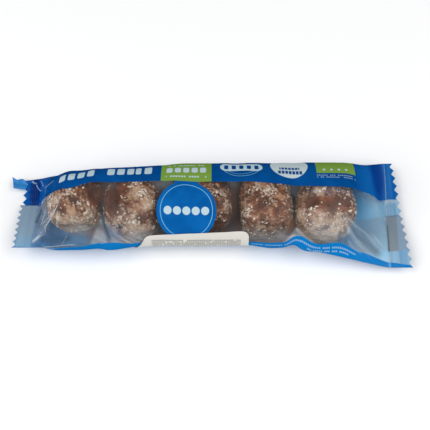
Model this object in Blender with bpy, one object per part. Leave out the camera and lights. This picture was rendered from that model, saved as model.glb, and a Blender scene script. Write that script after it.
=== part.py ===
"""A sealed clear flow-wrap pack round a row of five balls, lying on its back.

Metres, +Z up. X runs along the pack, -Y is its near long side and +Y its far one. The origin is
on the table, below the middle of the pack. The wrap is a film tube that is flat at its two
sealed ends and full round the balls. The paper label is stuck on its near side.
"""

from math import cos, exp, pi, sin, sqrt

import bmesh
import bpy
import numpy as np
from mathutils import Vector

MM = 0.001

# The film tube
FLAT_WIDTH = 54.6 * MM
SEAL_THICKNESS = 0.8 * MM
BODY_HALF_WIDTH = 20.6 * MM
BODY_HALF_HEIGHT = 14.7 * MM
BODY_CENTRE_Z = 13.9 * MM

# How far the full tube reaches to each side, at places along X, and smoothly between them
NEAR_REACH = ((-66.0 * MM, 22.0 * MM), (-44.0 * MM, 21.4 * MM), (-24.0 * MM, 19.9 * MM),
              (14.0 * MM, 19.9 * MM), (28.0 * MM, 20.8 * MM))
FAR_REACH = ((-72.0 * MM, 16.0 * MM), (-40.0 * MM, 17.8 * MM), (-10.0 * MM, 20.0 * MM),
             (60.0 * MM, 20.4 * MM))
TOP_REACH = ((-62.0 * MM, 13.3 * MM), (-35.0 * MM, 14.4 * MM), (-5.0 * MM, 14.9 * MM),
             (51.0 * MM, 14.7 * MM))

# The balls inside: middle along X, and length
BALLS = (
    (-62.0 * MM, 24.0 * MM),
    (-35.5 * MM, 28.0 * MM),
    (-5.5 * MM, 29.0 * MM),
    (24.0 * MM, 25.0 * MM),
    (51.5 * MM, 27.5 * MM),
)

# How deep the film is drawn in at each gap between two balls, on each side of the tube
PINCH_WIDTH = 3.4 * MM
PINCHES = (
    {"far": 0.4 * MM, "top": 2.0 * MM, "near": 0.6 * MM, "under": 0.0},
    {"far": 0.4 * MM, "top": 1.5 * MM, "near": 0.2 * MM, "under": 0.0},
    {"far": 0.4 * MM, "top": 1.5 * MM, "near": 0.2 * MM, "under": 0.0},
    {"far": 0.4 * MM, "top": 2.0 * MM, "near": 2.6 * MM, "under": 0.0},
)

# Pointed folds of the near side, below the gaps: X of the point and of the foot of the ridge,
# the girths of both, the foot's half width and its height
TENTS = (
    (-50.4 * MM, -46.8 * MM, 0.372, 0.500, 8.0 * MM, 1.5 * MM),
    (37.6 * MM, 39.6 * MM, 0.425, 0.490, 7.5 * MM, 1.6 * MM),
)
TENT_FADE = 0.07

# Long folds from the last ball to the right seal: X and girth of both ends, width and height
FOLDS = (
    (59.5 * MM, 0.360, 76.0 * MM, 0.470, 2.6 * MM, 1.1 * MM),
    (57.0 * MM, 0.405, 70.0 * MM, 0.482, 2.0 * MM, 0.8 * MM),
)

# Teeth of the cut ends
TEETH = 13
TOOTH_DEPTH = 1.7 * MM

# The right seal is flat and close to the table
RIGHT_ROOT_FAR = 82.3 * MM
RIGHT_ROOT_NEAR = 79.6 * MM
RIGHT_TIP_FAR = 86.4 * MM
RIGHT_TIP_NEAR = 90.7 * MM
RIGHT_SEAL_Z = 4.8 * MM
RIGHT_SEAL_WAVE = 0.7 * MM

# The left seal has a pleat: its far part runs in under its near part, which rises to its corner
LEFT_ROOT = -81.2 * MM
LEFT_TIP_NEAR = -89.8 * MM
LEFT_TIP_FAR = -89.2 * MM
LEFT_FAR_Y = 19.0 * MM
LEFT_FAR_Z = 4.6 * MM
LEFT_PLEAT_Y = 5.6 * MM
LEFT_PLEAT_LOW_Z = 2.2 * MM
LEFT_PLEAT_HIGH_Z = 3.6 * MM
LEFT_NEAR_Y = -19.6 * MM
LEFT_NEAR_Z = 9.5 * MM
LEFT_FAR_SHARE = 0.36
LEFT_FAR_TIP_DROP = 2.0 * MM

# The far corner of the left seal is folded out as a flap with teeth of its own
FLAP_LEFT = -94.2 * MM
FLAP_RIGHT = -86.0 * MM
FLAP_NEAR_Y = 14.6 * MM
FLAP_FAR_Y = 20.8 * MM
FLAP_Z = 2.2 * MM
FLAP_TEETH = 2

# Where the tube starts to narrow towards each seal, on each of its sides
RIGHT_TAPER = {"far": 60.0 * MM, "top": 58.0 * MM, "near": 34.0 * MM, "under": 56.0 * MM}
LEFT_TAPER = {"far": -52.0 * MM, "top": -64.0 * MM, "near": -68.0 * MM, "under": -64.0 * MM}

# The roundness of that narrowing: 0 is a straight run and 1 a round shoulder
RIGHT_SHOULDER = {"far": 1.0, "top": 1.0, "near": 0.0, "under": 1.0}
LEFT_SHOULDER = {"far": 0.6, "top": 1.0, "near": 1.0, "under": 1.0}
TAPER_KNEE = 0.3

# The film's back seam is a fin that lies against the underside, towards the near side
FIN_FROM = 0.61
FIN_TO = 0.751
FIN_THICKNESS = 0.5 * MM

# The label, along X and along the film from the near side fold of the tube
LABEL_LEFT = -30.0 * MM
LABEL_RIGHT = 17.2 * MM
LABEL_TOP_LEFT = 6.9 * MM
LABEL_TOP_RIGHT = 9.4 * MM
LABEL_BOTTOM = -10.5 * MM
LABEL_LEAN = 5.0 * MM
LABEL_CORNER = 3.0 * MM
LABEL_GAP = 0.35 * MM
LABEL_THICKNESS = 0.35 * MM
LABEL_STEPS_LONG = 26
LABEL_STEPS_HIGH = 12

# Fineness of the tube's mesh
COLUMNS = 4 * TEETH
STATIONS = 54
SECTION_SAMPLES = 720

FILM_COLOUR = (0.035, 0.155, 0.42)
LABEL_COLOUR = (0.78, 0.76, 0.70)


def clear_scene():
    for item in list(bpy.data.objects):
        bpy.data.objects.remove(item, do_unlink=True)


def make_material(name, colour, roughness):
    material = bpy.data.materials.new(name)
    material.use_nodes = True
    shader = material.node_tree.nodes["Principled BSDF"]
    shader.inputs["Base Color"].default_value = (*colour, 1.0)
    shader.inputs["Roughness"].default_value = roughness
    shader.inputs["Metallic"].default_value = 0.0
    return material


def add_object(name, mesh_data, material):
    item = bpy.data.objects.new(name, mesh_data)
    bpy.context.scene.collection.objects.link(item)
    item.data.materials.append(material)
    return item


def mix(start, end, share):
    return start + (end - start) * share


def smooth(share):
    share = min(max(share, 0.0), 1.0)
    return share * share * (3.0 - 2.0 * share)


# The girth is a share from 0 to 1: 0 is the far side fold of the tube, 0.25 the top,
# 0.5 the near side fold and 0.75 the middle of the underside.

def by_side(values, girth):
    """A value that goes smoothly from side to side round the tube."""
    order = (values["far"], values["top"], values["near"], values["under"])
    place = (girth % 1.0) * 4.0
    side = int(place)
    return mix(order[side], order[(side + 1) % 4], smooth(place - side))


def along_pack(profile, x):
    """The value at x of a profile given by its values at a few places."""
    for (start, value), (end, next_value) in zip(profile, profile[1:]):
        if x <= end:
            return mix(value, next_value, smooth((x - start) / (end - start)))
    return profile[-1][1]


def body_section():
    """Y and Z round the full tube, even along the film, cut flat where it lies on the table."""
    turns = np.linspace(0.0, 2.0 * pi, SECTION_SAMPLES + 1)
    y = BODY_HALF_WIDTH * np.cos(turns)
    z = np.maximum(BODY_CENTRE_Z + BODY_HALF_HEIGHT * np.sin(turns), 0.0)
    steps = np.hypot(np.diff(y), np.diff(z))
    along = np.concatenate(([0.0], np.cumsum(steps)))
    return y, z, along / along[-1]


SECTION_Y, SECTION_Z, SECTION_GIRTH = body_section()


def pinch(x, girth):
    """How far the film is drawn in between two balls."""
    depth = 0.0
    for ball, neighbour, sides in zip(BALLS, BALLS[1:], PINCHES):
        middle = (ball[0] + ball[1] / 2 + neighbour[0] - neighbour[1] / 2) / 2
        depth += by_side(sides, girth) * exp(-((x - middle) / PINCH_WIDTH) ** 2)
    return depth


def tent(x, girth):
    """How far the film stands out in the pointed folds."""
    rise = 0.0
    for point_x, foot_x, point_girth, foot_girth, half_width, height in TENTS:
        down = (girth - point_girth) / (foot_girth - point_girth)
        if 0.0 < down:
            open_share = min(down, 1.0)
            fade = 1.0 - smooth((girth - foot_girth) / TENT_FADE)
            offset = abs(x - mix(point_x, foot_x, open_share)) / (half_width * open_share)
            rise += height * open_share * fade * max(1.0 - offset, 0.0)
    return rise


def fold(x, girth):
    """How far the film stands out in the long folds."""
    rise = 0.0
    for start_x, start_girth, end_x, end_girth, width, height in FOLDS:
        run = Vector((end_x - start_x, (end_girth - start_girth) * 2.0 * FLAT_WIDTH))
        place = Vector((x - start_x, (girth - start_girth) * 2.0 * FLAT_WIDTH))
        share = place.dot(run) / run.length_squared
        if 0.0 < share < 1.0:
            offset = (place - run * share).length / width
            rise += height * sin(pi * share) * max(1.0 - offset, 0.0)
    return rise


def body_point(x, girth):
    """A point of the tube as it would be with no ends."""
    y = float(np.interp(girth % 1.0, SECTION_GIRTH, SECTION_Y))
    z = float(np.interp(girth % 1.0, SECTION_GIRTH, SECTION_Z))
    if z <= 0.0:
        return y, 0.0
    y *= along_pack(NEAR_REACH if y < 0.0 else FAR_REACH, x) / BODY_HALF_WIDTH
    rise = z - BODY_CENTRE_Z
    if rise > 0.0:
        rise *= along_pack(TOP_REACH, x) / BODY_HALF_HEIGHT
    swell = 1.0 + (tent(x, girth) + fold(x, girth) - pinch(x, girth)) / sqrt(y * y + rise * rise)
    return y * swell, max(BODY_CENTRE_Z + rise * swell, 0.0)


def strip_share(girth):
    """0 at the far side fold and 1 at the near one, on either layer of a seal."""
    girth = girth % 1.0
    return 2.0 * girth if girth <= 0.5 else 2.0 - 2.0 * girth


def layer_lift(girth):
    """Half of the seal's thickness, up on the upper layer, down on the lower, none at the folds."""
    share = strip_share(girth)
    if share <= 0.0 or share >= 1.0:
        return 0.0
    return SEAL_THICKNESS / 2 if girth % 1.0 < 0.5 else -SEAL_THICKNESS / 2


def fin_drop(girth):
    return FIN_THICKNESS if FIN_FROM < girth % 1.0 < FIN_TO else 0.0


def right_seal_point(girth):
    share = strip_share(girth)
    y = mix(FLAT_WIDTH / 2, -FLAT_WIDTH / 2, share)
    z = RIGHT_SEAL_Z + RIGHT_SEAL_WAVE * sin(3.0 * pi * share)
    return y, z + layer_lift(girth)


def left_seal_point(girth):
    share = strip_share(girth)
    if share <= LEFT_FAR_SHARE:
        part = share / LEFT_FAR_SHARE
        y = mix(LEFT_FAR_Y, LEFT_PLEAT_Y, part)
        z = mix(LEFT_FAR_Z, LEFT_PLEAT_LOW_Z, part)
    else:
        part = (share - LEFT_FAR_SHARE) / (1.0 - LEFT_FAR_SHARE)
        y = mix(LEFT_PLEAT_Y, LEFT_NEAR_Y, part)
        upper = mix(LEFT_PLEAT_HIGH_Z, LEFT_NEAR_Z, part)
        lower = mix(LEFT_PLEAT_LOW_Z, LEFT_NEAR_Z, part)
        z = upper if girth % 1.0 < 0.5 else lower
    return y, z + layer_lift(girth)


def fullness(x, root, start, shoulder):
    """1 round the balls, down to 0 at the root of a seal, by a straight run or a round one."""
    share = max((root - x) / (root - start), 0.0)
    straight = min(share, 1.0)
    if abs(share - 1.0) < TAPER_KNEE:
        straight = 1.0 - (1.0 + TAPER_KNEE - share) ** 2 / (4.0 * TAPER_KNEE)
    return mix(straight, sin(pi / 2 * min(share, 1.0)), shoulder)


def right_root(girth):
    return mix(RIGHT_ROOT_FAR, RIGHT_ROOT_NEAR, strip_share(girth))


def wrap_point(along, girth):
    """A point of the tube between the roots of its seals, which are at 0 and 1 along it."""
    x = mix(LEFT_ROOT, right_root(girth), along)
    body_y, body_z = body_point(x, girth)
    right_y, right_z = right_seal_point(girth)
    left_y, left_z = left_seal_point(girth)
    full = fullness(x, right_root(girth), by_side(RIGHT_TAPER, girth), by_side(RIGHT_SHOULDER, girth))
    y = mix(right_y, body_y, full)
    z = mix(right_z, body_z, full)
    full = fullness(x, LEFT_ROOT, by_side(LEFT_TAPER, girth), by_side(LEFT_SHOULDER, girth))
    y = mix(left_y, y, full)
    z = mix(left_z, z, full)
    return Vector((x, y, max(z - fin_drop(girth), 0.0)))


def right_tip(girth, is_tooth):
    """A point of the right seal's cut edge."""
    y, z = right_seal_point(girth)
    x = mix(RIGHT_TIP_FAR, RIGHT_TIP_NEAR, strip_share(girth))
    return Vector((x - (0.0 if is_tooth else TOOTH_DEPTH), y, z - fin_drop(girth)))


def left_tip(girth, is_tooth):
    """A point of the left seal's cut edge, which is bent down along its far part."""
    share = strip_share(girth)
    y, z = left_seal_point(girth)
    bent = 1.0 - smooth((share - LEFT_FAR_SHARE + 0.06) / 0.06)
    x = mix(LEFT_TIP_NEAR, LEFT_TIP_FAR, bent)
    z -= LEFT_FAR_TIP_DROP * bent + fin_drop(girth)
    return Vector((x + (0.0 if is_tooth else TOOTH_DEPTH), y, z))


def wrap_rings():
    """The tube's rings of points from the left cut edge to the right one."""
    girths = [column / COLUMNS for column in range(COLUMNS)]
    rings = [[left_tip(girth, column % 2 == 0) for column, girth in enumerate(girths)]]
    for station in range(STATIONS + 1):
        rings.append([wrap_point(station / STATIONS, girth) for girth in girths])
    rings.append([right_tip(girth, column % 2 == 0) for column, girth in enumerate(girths)])
    return rings


def close_cut_edge(builder, ring, turned):
    """The thin wall between the two layers of a seal, along its cut edge."""
    for column in range(COLUMNS // 2):
        upper = (column, column + 1)
        lower = [(COLUMNS - place) % COLUMNS for place in reversed(upper)]
        face = [ring[place] for place in dict.fromkeys((*upper, *lower))]
        if turned:
            face.reverse()
        builder.faces.new(face)


def build_wrap_mesh():
    builder = bmesh.new()
    rings = [[builder.verts.new(point) for point in ring] for ring in wrap_rings()]
    for ring, following in zip(rings, rings[1:]):
        for column in range(COLUMNS):
            after = (column + 1) % COLUMNS
            builder.faces.new((ring[column], ring[after], following[after], following[column]))
    close_cut_edge(builder, rings[0], True)
    close_cut_edge(builder, rings[-1], False)
    bmesh.ops.recalc_face_normals(builder, faces=builder.faces)
    mesh_data = bpy.data.meshes.new("pack")
    builder.to_mesh(mesh_data)
    builder.free()
    return mesh_data


def build_flap():
    """The folded-out corner of the left seal, to be joined to the wrap."""
    outline = [(FLAP_LEFT, FLAP_NEAR_Y), (FLAP_RIGHT, FLAP_NEAR_Y), (FLAP_RIGHT, FLAP_FAR_Y - TOOTH_DEPTH)]
    pitch = (FLAP_RIGHT - FLAP_LEFT) / FLAP_TEETH
    for tooth in range(FLAP_TEETH):
        right = FLAP_RIGHT - tooth * pitch
        outline.append((right - pitch / 2, FLAP_FAR_Y))
        outline.append((right - pitch, FLAP_FAR_Y - TOOTH_DEPTH))
    builder = bmesh.new()
    bottom = builder.faces.new([builder.verts.new((x, y, FLAP_Z)) for x, y in outline])
    raised = bmesh.ops.extrude_face_region(builder, geom=[bottom])
    moved = [item for item in raised["geom"] if isinstance(item, bmesh.types.BMVert)]
    bmesh.ops.translate(builder, verts=moved, vec=(0.0, 0.0, SEAL_THICKNESS))
    bmesh.ops.recalc_face_normals(builder, faces=builder.faces)
    mesh_data = bpy.data.meshes.new("flap")
    builder.to_mesh(mesh_data)
    builder.free()
    flap = bpy.data.objects.new("flap", mesh_data)
    bpy.context.scene.collection.objects.link(flap)
    flap.hide_render = True
    flap.display_type = "WIRE"
    return flap


def build_pack(material):
    pack = add_object("pack", build_wrap_mesh(), material)
    flap = build_flap()
    flap.parent = pack
    join = pack.modifiers.new("folded corner", "BOOLEAN")
    join.operation = "UNION"
    join.object = flap
    pack.data.shade_smooth()
    return pack


def wrap_normal(along, girth):
    """The outward direction of the film."""
    reach = 0.004
    length = wrap_point(along + reach, girth) - wrap_point(along - reach, girth)
    turn = wrap_point(along, girth + reach) - wrap_point(along, girth - reach)
    return turn.cross(length).normalized()


def label_corner(distance):
    """How much the label's edge drops in at this distance from its end."""
    if distance >= LABEL_CORNER:
        return 0.0
    short = LABEL_CORNER - distance
    return LABEL_CORNER - sqrt(max(LABEL_CORNER ** 2 - short ** 2, 0.0))


def label_point(long_share, high_share, lift):
    """A point of the label: on the film, and then lifted off it."""
    reach = (LABEL_RIGHT - LABEL_LEFT) * long_share
    drop = label_corner(min(reach, LABEL_RIGHT - LABEL_LEFT - reach))
    top = mix(LABEL_TOP_LEFT, LABEL_TOP_RIGHT, long_share) - drop
    height = mix(top, LABEL_BOTTOM + drop, high_share)
    x = LABEL_LEFT + reach - LABEL_LEAN * high_share * (1.0 - long_share)
    girth = 0.5 - height / (2.0 * FLAT_WIDTH)
    along = (x - LEFT_ROOT) / (right_root(girth) - LEFT_ROOT)
    return wrap_point(along, girth) + wrap_normal(along, girth) * lift


def build_label(material):
    """A thin sheet that follows the film."""
    builder = bmesh.new()
    sheets = []
    for lift in (LABEL_GAP, LABEL_GAP + LABEL_THICKNESS):
        sheet = []
        for row in range(LABEL_STEPS_HIGH + 1):
            high_share = row / LABEL_STEPS_HIGH
            line = []
            for column in range(LABEL_STEPS_LONG + 1):
                long_share = 0.5 - 0.5 * cos(pi * column / LABEL_STEPS_LONG)
                line.append(builder.verts.new(label_point(long_share, high_share, lift)))
            sheet.append(line)
        sheets.append(sheet)
    inner, outer = sheets
    for row in range(LABEL_STEPS_HIGH):
        for column in range(LABEL_STEPS_LONG):
            corners = ((row, column), (row + 1, column), (row + 1, column + 1), (row, column + 1))
            builder.faces.new([outer[high][long] for high, long in corners])
            builder.faces.new([inner[high][long] for high, long in reversed(corners)])
    loop = [(0, column) for column in range(LABEL_STEPS_LONG)]
    loop += [(row, LABEL_STEPS_LONG) for row in range(LABEL_STEPS_HIGH)]
    loop += [(LABEL_STEPS_HIGH, column) for column in range(LABEL_STEPS_LONG, 0, -1)]
    loop += [(row, 0) for row in range(LABEL_STEPS_HIGH, 0, -1)]
    for (row, column), (next_row, next_column) in zip(loop, loop[1:] + loop[:1]):
        builder.faces.new((outer[row][column], outer[next_row][next_column],
                           inner[next_row][next_column], inner[row][column]))
    mesh_data = bpy.data.meshes.new("label")
    builder.to_mesh(mesh_data)
    builder.free()
    mesh_data.shade_smooth()
    return add_object("label", mesh_data, material)


def main():
    clear_scene()
    pieces = (
        build_pack(make_material("printed film", FILM_COLOUR, 0.25)),
        build_label(make_material("label paper", LABEL_COLOUR, 0.6)),
    )
    for piece in pieces:
        piece.location.x = -(FLAP_LEFT + RIGHT_TIP_NEAR) / 2


main()
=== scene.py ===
"""The looks of a sealed clear flow-wrap pack with a row of five coconut date balls.

Metres, +Z up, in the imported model's frame. The film is one closed tube with the same form as the
pack's solid, with its folds, creases, crimped ends and teeth. Its print, the pale lining behind
the print, the balls, their coconut flakes, the paper label and the back seam are further pieces.
"""

from math import cos, hypot, pi, radians, sin

import bmesh
import bpy
import numpy as np
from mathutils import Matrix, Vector, noise
from mathutils.bvhtree import BVHTree
from mathutils.kdtree import KDTree


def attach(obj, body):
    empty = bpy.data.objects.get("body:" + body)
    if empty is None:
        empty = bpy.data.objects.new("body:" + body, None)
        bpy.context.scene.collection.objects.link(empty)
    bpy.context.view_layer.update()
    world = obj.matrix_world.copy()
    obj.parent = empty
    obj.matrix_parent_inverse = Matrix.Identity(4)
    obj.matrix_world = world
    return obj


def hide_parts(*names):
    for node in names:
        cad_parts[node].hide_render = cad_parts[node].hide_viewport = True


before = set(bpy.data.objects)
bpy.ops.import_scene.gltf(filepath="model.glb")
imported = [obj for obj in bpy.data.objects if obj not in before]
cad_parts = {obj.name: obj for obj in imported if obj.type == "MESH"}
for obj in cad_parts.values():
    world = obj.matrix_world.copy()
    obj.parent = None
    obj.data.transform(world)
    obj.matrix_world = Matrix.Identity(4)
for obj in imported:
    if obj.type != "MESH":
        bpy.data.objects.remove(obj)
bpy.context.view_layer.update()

MM = 0.001

# The film tube: these are the sizes of the pack's solid
FLAT_WIDTH = 54.6 * MM
GIRTH = 2.0 * FLAT_WIDTH
BODY_HALF_WIDTH = 20.6 * MM
BODY_HALF_HEIGHT = 14.7 * MM
BODY_CENTRE_Z = 13.9 * MM
NEAR_REACH = ((-66.0 * MM, 22.0 * MM), (-44.0 * MM, 21.2 * MM), (-24.0 * MM, 19.1 * MM),
              (14.0 * MM, 19.1 * MM), (28.0 * MM, 20.6 * MM))
FAR_REACH = ((-72.0 * MM, 16.0 * MM), (-40.0 * MM, 17.8 * MM), (-10.0 * MM, 20.0 * MM),
             (60.0 * MM, 20.4 * MM))
TOP_REACH = ((-62.0 * MM, 13.3 * MM), (-35.0 * MM, 14.4 * MM), (-5.0 * MM, 14.9 * MM),
             (51.0 * MM, 14.7 * MM))
# Where two balls meet, and how far each side of the film is drawn in there
GAPS = (-49.75 * MM, -20.75 * MM, 10.25 * MM, 37.125 * MM)
PINCH_WIDTH = 3.4 * MM
PINCHES = (
    {"far": 0.2 * MM, "top": 0.4 * MM, "near": 0.6 * MM, "under": 0.0},
    {"far": 0.2 * MM, "top": 0.3 * MM, "near": 0.2 * MM, "under": 0.0},
    {"far": 0.2 * MM, "top": 0.2 * MM, "near": 0.2 * MM, "under": 0.0},
    {"far": 0.2 * MM, "top": 0.4 * MM, "near": 2.6 * MM, "under": 0.0},
)
# Pointed folds: X and girth of the point, X and girth of the foot, half width and height
TENTS = (
    (-50.4 * MM, 0.372, -46.8 * MM, 0.500, 8.0 * MM, 1.5 * MM),
    (37.6 * MM, 0.425, 39.6 * MM, 0.490, 7.5 * MM, 1.6 * MM),
)
TENT_FADE = 0.07
LEAST_OPENING = 0.001
# Long folds: X and girth of both ends, width and height
FOLDS = (
    (59.5 * MM, 0.360, 76.0 * MM, 0.470, 2.6 * MM, 1.1 * MM),
    (57.0 * MM, 0.405, 70.0 * MM, 0.482, 2.0 * MM, 0.8 * MM),
)
# Where each side of the tube starts to taper towards its ends, and how round it goes, 0 to 1
RIGHT_TAPER = {"far": 60.0 * MM, "top": 58.0 * MM, "near": 34.0 * MM, "under": 56.0 * MM}
LEFT_TAPER = {"far": -64.0 * MM, "top": -64.0 * MM, "near": -68.0 * MM, "under": -64.0 * MM}
RIGHT_SHOULDER = {"far": 1.0, "top": 1.0, "near": 0.0, "under": 1.0}
LEFT_SHOULDER = {"far": 0.6, "top": 1.0, "near": 1.0, "under": 1.0}
TAPER_KNEE = 0.3
TEETH = 13
TOOTH_DEPTH = 1.7 * MM
RIGHT_ROOT_FAR = 82.3 * MM
RIGHT_ROOT_NEAR = 79.6 * MM
RIGHT_TIP_FAR = 86.4 * MM
RIGHT_TIP_NEAR = 90.7 * MM
RIGHT_SEAL_Z = 4.8 * MM
RIGHT_SEAL_WAVE = 0.7 * MM
RIGHT_SEAL_WAVES = 1.5
LEFT_ROOT = -81.2 * MM
LEFT_TIP_NEAR = -89.8 * MM
LEFT_TIP_FAR = -89.2 * MM
LEFT_FAR_TIP_DROP = 2.0 * MM
LEFT_FOLD_SHARE = 0.36
LEFT_BEND = 0.06
FLAP_LEFT = -94.2 * MM
FLAP_Z = 2.5 * MM

# The pack's middle along X: the frame's origin is there
MIDDLE = (FLAP_LEFT + RIGHT_TIP_NEAR) / 2

# The gap between the two layers of a seal, the film's height over the table, and how far its
# lining lies inside it
LAYER_GAP = 0.12 * MM
FILM_FLOOR = 0.05 * MM
LINING_INSET = 0.12 * MM

# The left seal's strip seen from its end, as Y and Z from the far side fold to the near one:
# it runs in under itself, turns back and then rises to its near corner
LEFT_STRIP = ((19.0 * MM, 4.6 * MM), (1.6 * MM, 1.7 * MM), (5.9 * MM, 3.3 * MM),
              (-19.6 * MM, 9.5 * MM))
STRIP_ROUNDING = 0.9 * MM
STRIP_STEPS = 9
STRIP_REACH = 0.004
FOLD_SHARE = 0.001

# Fineness of the film's mesh
COLUMNS = 20 * TEETH
BODY_ROWS = 270
SEAL_ROWS = 44
SECTION_SAMPLES = 2880

# The crimp of the seals, as shares of their depth, and how sharply it and the body begin
RIB_PITCH = 0.85 * MM
RIB_HEIGHT = 0.05 * MM
RIBS_FROM = 0.06
RIBS_TO = 0.60
RIB_SHARPNESS = 20.0
ROOT_SHARPNESS = 40.0
TINY = 1e-12


def mix(start, end, share):
    return start + (end - start) * share


def smooth(share):
    share = np.clip(share, 0.0, 1.0)
    return share * share * (3.0 - 2.0 * share)


# The girth is a share from 0 to 1: 0 is the far side fold of the tube, 0.25 the top,
# 0.5 the near side fold and 0.75 the middle of the underside.
SIDES = ("far", "top", "near", "under")


def by_side(values, girth):
    """A value that goes smoothly from side to side round the tube."""
    order = np.array([values[side] for side in (*SIDES, SIDES[0])])
    place = (girth % 1.0) * len(SIDES)
    side = np.minimum(place.astype(int), len(SIDES) - 1)
    return mix(order[side], order[side + 1], smooth(place - side))


def along_pack(profile, x):
    """The value at x of a profile given by its values at a few places."""
    value = np.full(np.shape(x), profile[0][1])
    for (start, low), (end, high) in zip(profile, profile[1:]):
        value = np.where(x > start, mix(low, high, smooth((x - start) / (end - start))), value)
    return value


def body_section():
    """Y and Z round the full tube, even along the film, cut flat where it lies on the table."""
    turns = np.linspace(0.0, 2.0 * pi, SECTION_SAMPLES + 1)
    y = BODY_HALF_WIDTH * np.cos(turns)
    z = np.maximum(BODY_CENTRE_Z + BODY_HALF_HEIGHT * np.sin(turns), 0.0)
    along = np.concatenate(([0.0], np.cumsum(np.hypot(np.diff(y), np.diff(z)))))
    return y, z, along / along[-1]


SECTION_Y, SECTION_Z, SECTION_GIRTH = body_section()


def pinch(x, girth):
    """How far the film is drawn in between two balls."""
    return sum(by_side(sides, girth) * np.exp(-((x - gap) / PINCH_WIDTH) ** 2)
               for gap, sides in zip(GAPS, PINCHES))


def tent(x, girth):
    """How far the film stands out in the pointed folds."""
    rise = np.zeros(np.shape(x))
    for point_x, point_girth, foot_x, foot_girth, half_width, height in TENTS:
        down = (girth - point_girth) / (foot_girth - point_girth)
        open_share = np.clip(down, LEAST_OPENING, 1.0)
        fade = 1.0 - smooth((girth - foot_girth) / TENT_FADE)
        offset = np.abs(x - mix(point_x, foot_x, open_share)) / (half_width * open_share)
        shape = open_share * fade * np.maximum(1.0 - offset, 0.0)
        rise += np.where(down > 0.0, height * shape, 0.0)
    return rise


def ridge(x, girth, start, end, width):
    """1 along the line between two points of the film, down to 0 at its ends and sides."""
    run_x = end[0] - start[0]
    run_girth = (end[1] - start[1]) * GIRTH
    length = np.hypot(run_x, run_girth)
    across_x = x - start[0]
    across_girth = (girth - start[1]) * GIRTH
    share = (across_x * run_x + across_girth * run_girth) / length ** 2
    offset = np.abs(across_x * run_girth - across_girth * run_x) / length / width
    shape = np.sin(pi * np.clip(share, 0.0, 1.0))
    return shape * np.maximum(1.0 - offset, 0.0)


def fold(x, girth):
    """How far the film stands out in the long folds."""
    return sum(height * ridge(x, girth, (start_x, start_girth), (end_x, end_girth), width)
               for start_x, start_girth, end_x, end_girth, width, height in FOLDS)


def body_point(x, girth):
    """Y and Z of the tube as it would be with no ends."""
    y = np.interp(girth % 1.0, SECTION_GIRTH, SECTION_Y)
    z = np.interp(girth % 1.0, SECTION_GIRTH, SECTION_Z)
    on_table = z <= 0.0
    side_reach = np.where(y < 0.0, along_pack(NEAR_REACH, x), along_pack(FAR_REACH, x))
    y = y * side_reach / BODY_HALF_WIDTH
    rise = z - BODY_CENTRE_Z
    rise *= np.where(rise > 0.0, along_pack(TOP_REACH, x) / BODY_HALF_HEIGHT, 1.0)
    reach = np.hypot(y, rise)
    drawn = tent(x, girth) + fold(x, girth) - pinch(x, girth)
    stretch = np.where(on_table, 1.0, 1.0 + drawn / reach)
    return y * stretch, np.maximum(BODY_CENTRE_Z + rise * stretch, 0.0)


def strip_share(girth):
    """0 at the far side fold and 1 at the near one, on either layer of a seal."""
    girth = girth % 1.0
    return np.where(girth <= 0.5, 2.0 * girth, 2.0 - 2.0 * girth)


def layer_side(girth):
    """1 on a seal's upper layer, -1 on its lower one, and 0 at the folds where they meet."""
    share = strip_share(girth)
    at_fold = (share < FOLD_SHARE) | (share > 1.0 - FOLD_SHARE)
    return np.where(at_fold, 0.0, np.where(girth % 1.0 < 0.5, 1.0, -1.0))


def right_seal_point(girth):
    share = strip_share(girth)
    y = mix(FLAT_WIDTH / 2, -FLAT_WIDTH / 2, share)
    z = RIGHT_SEAL_Z + RIGHT_SEAL_WAVE * np.sin(2.0 * pi * RIGHT_SEAL_WAVES * share)
    return y, z + LAYER_GAP * layer_side(girth)


def left_strip_line():
    """The left strip's line with its turns rounded: Y, Z and share along it."""
    corners = np.array(LEFT_STRIP)
    y, z = [], []
    for before, corner, after in zip(corners, corners[1:], corners[2:]):
        entry = corner + (before - corner) * STRIP_ROUNDING / np.linalg.norm(before - corner)
        leave = corner + (after - corner) * STRIP_ROUNDING / np.linalg.norm(after - corner)
        for share in np.linspace(0.0, 1.0, STRIP_STEPS):
            point = mix(mix(entry, corner, share), mix(corner, leave, share), share)
            y.append(point[0])
            z.append(point[1])
    y = np.array([corners[0][0], *y, corners[-1][0]])
    z = np.array([corners[0][1], *z, corners[-1][1]])
    along = np.concatenate(([0.0], np.cumsum(np.hypot(np.diff(y), np.diff(z)))))
    return y, z, along / along[-1]


STRIP_Y, STRIP_Z, STRIP_SHARE = left_strip_line()


def strip_place(share):
    return np.interp(share, STRIP_SHARE, STRIP_Y), np.interp(share, STRIP_SHARE, STRIP_Z)


def left_seal_point(girth):
    share = strip_share(girth)
    y, z = strip_place(share)
    ahead_y, ahead_z = strip_place(np.clip(share + STRIP_REACH, 0.0, 1.0))
    behind_y, behind_z = strip_place(np.clip(share - STRIP_REACH, 0.0, 1.0))
    run_y = ahead_y - behind_y
    run_z = ahead_z - behind_z
    length = np.hypot(run_y, run_z)
    lift = LAYER_GAP * layer_side(girth)
    return y + lift * run_z / length, z - lift * run_y / length


def fullness(x, root, start, shoulder):
    """1 round the balls, down to 0 at the root of a seal, by a straight run or a round one."""
    share = np.maximum((root - x) / (root - start), 0.0)
    knee = 1.0 - (1.0 + TAPER_KNEE - share) ** 2 / (4.0 * TAPER_KNEE)
    straight = np.where(np.abs(share - 1.0) < TAPER_KNEE, knee, np.minimum(share, 1.0))
    return mix(straight, np.sin(pi / 2 * np.minimum(share, 1.0)), shoulder)


def right_root(girth):
    return mix(RIGHT_ROOT_FAR, RIGHT_ROOT_NEAR, strip_share(girth))


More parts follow.
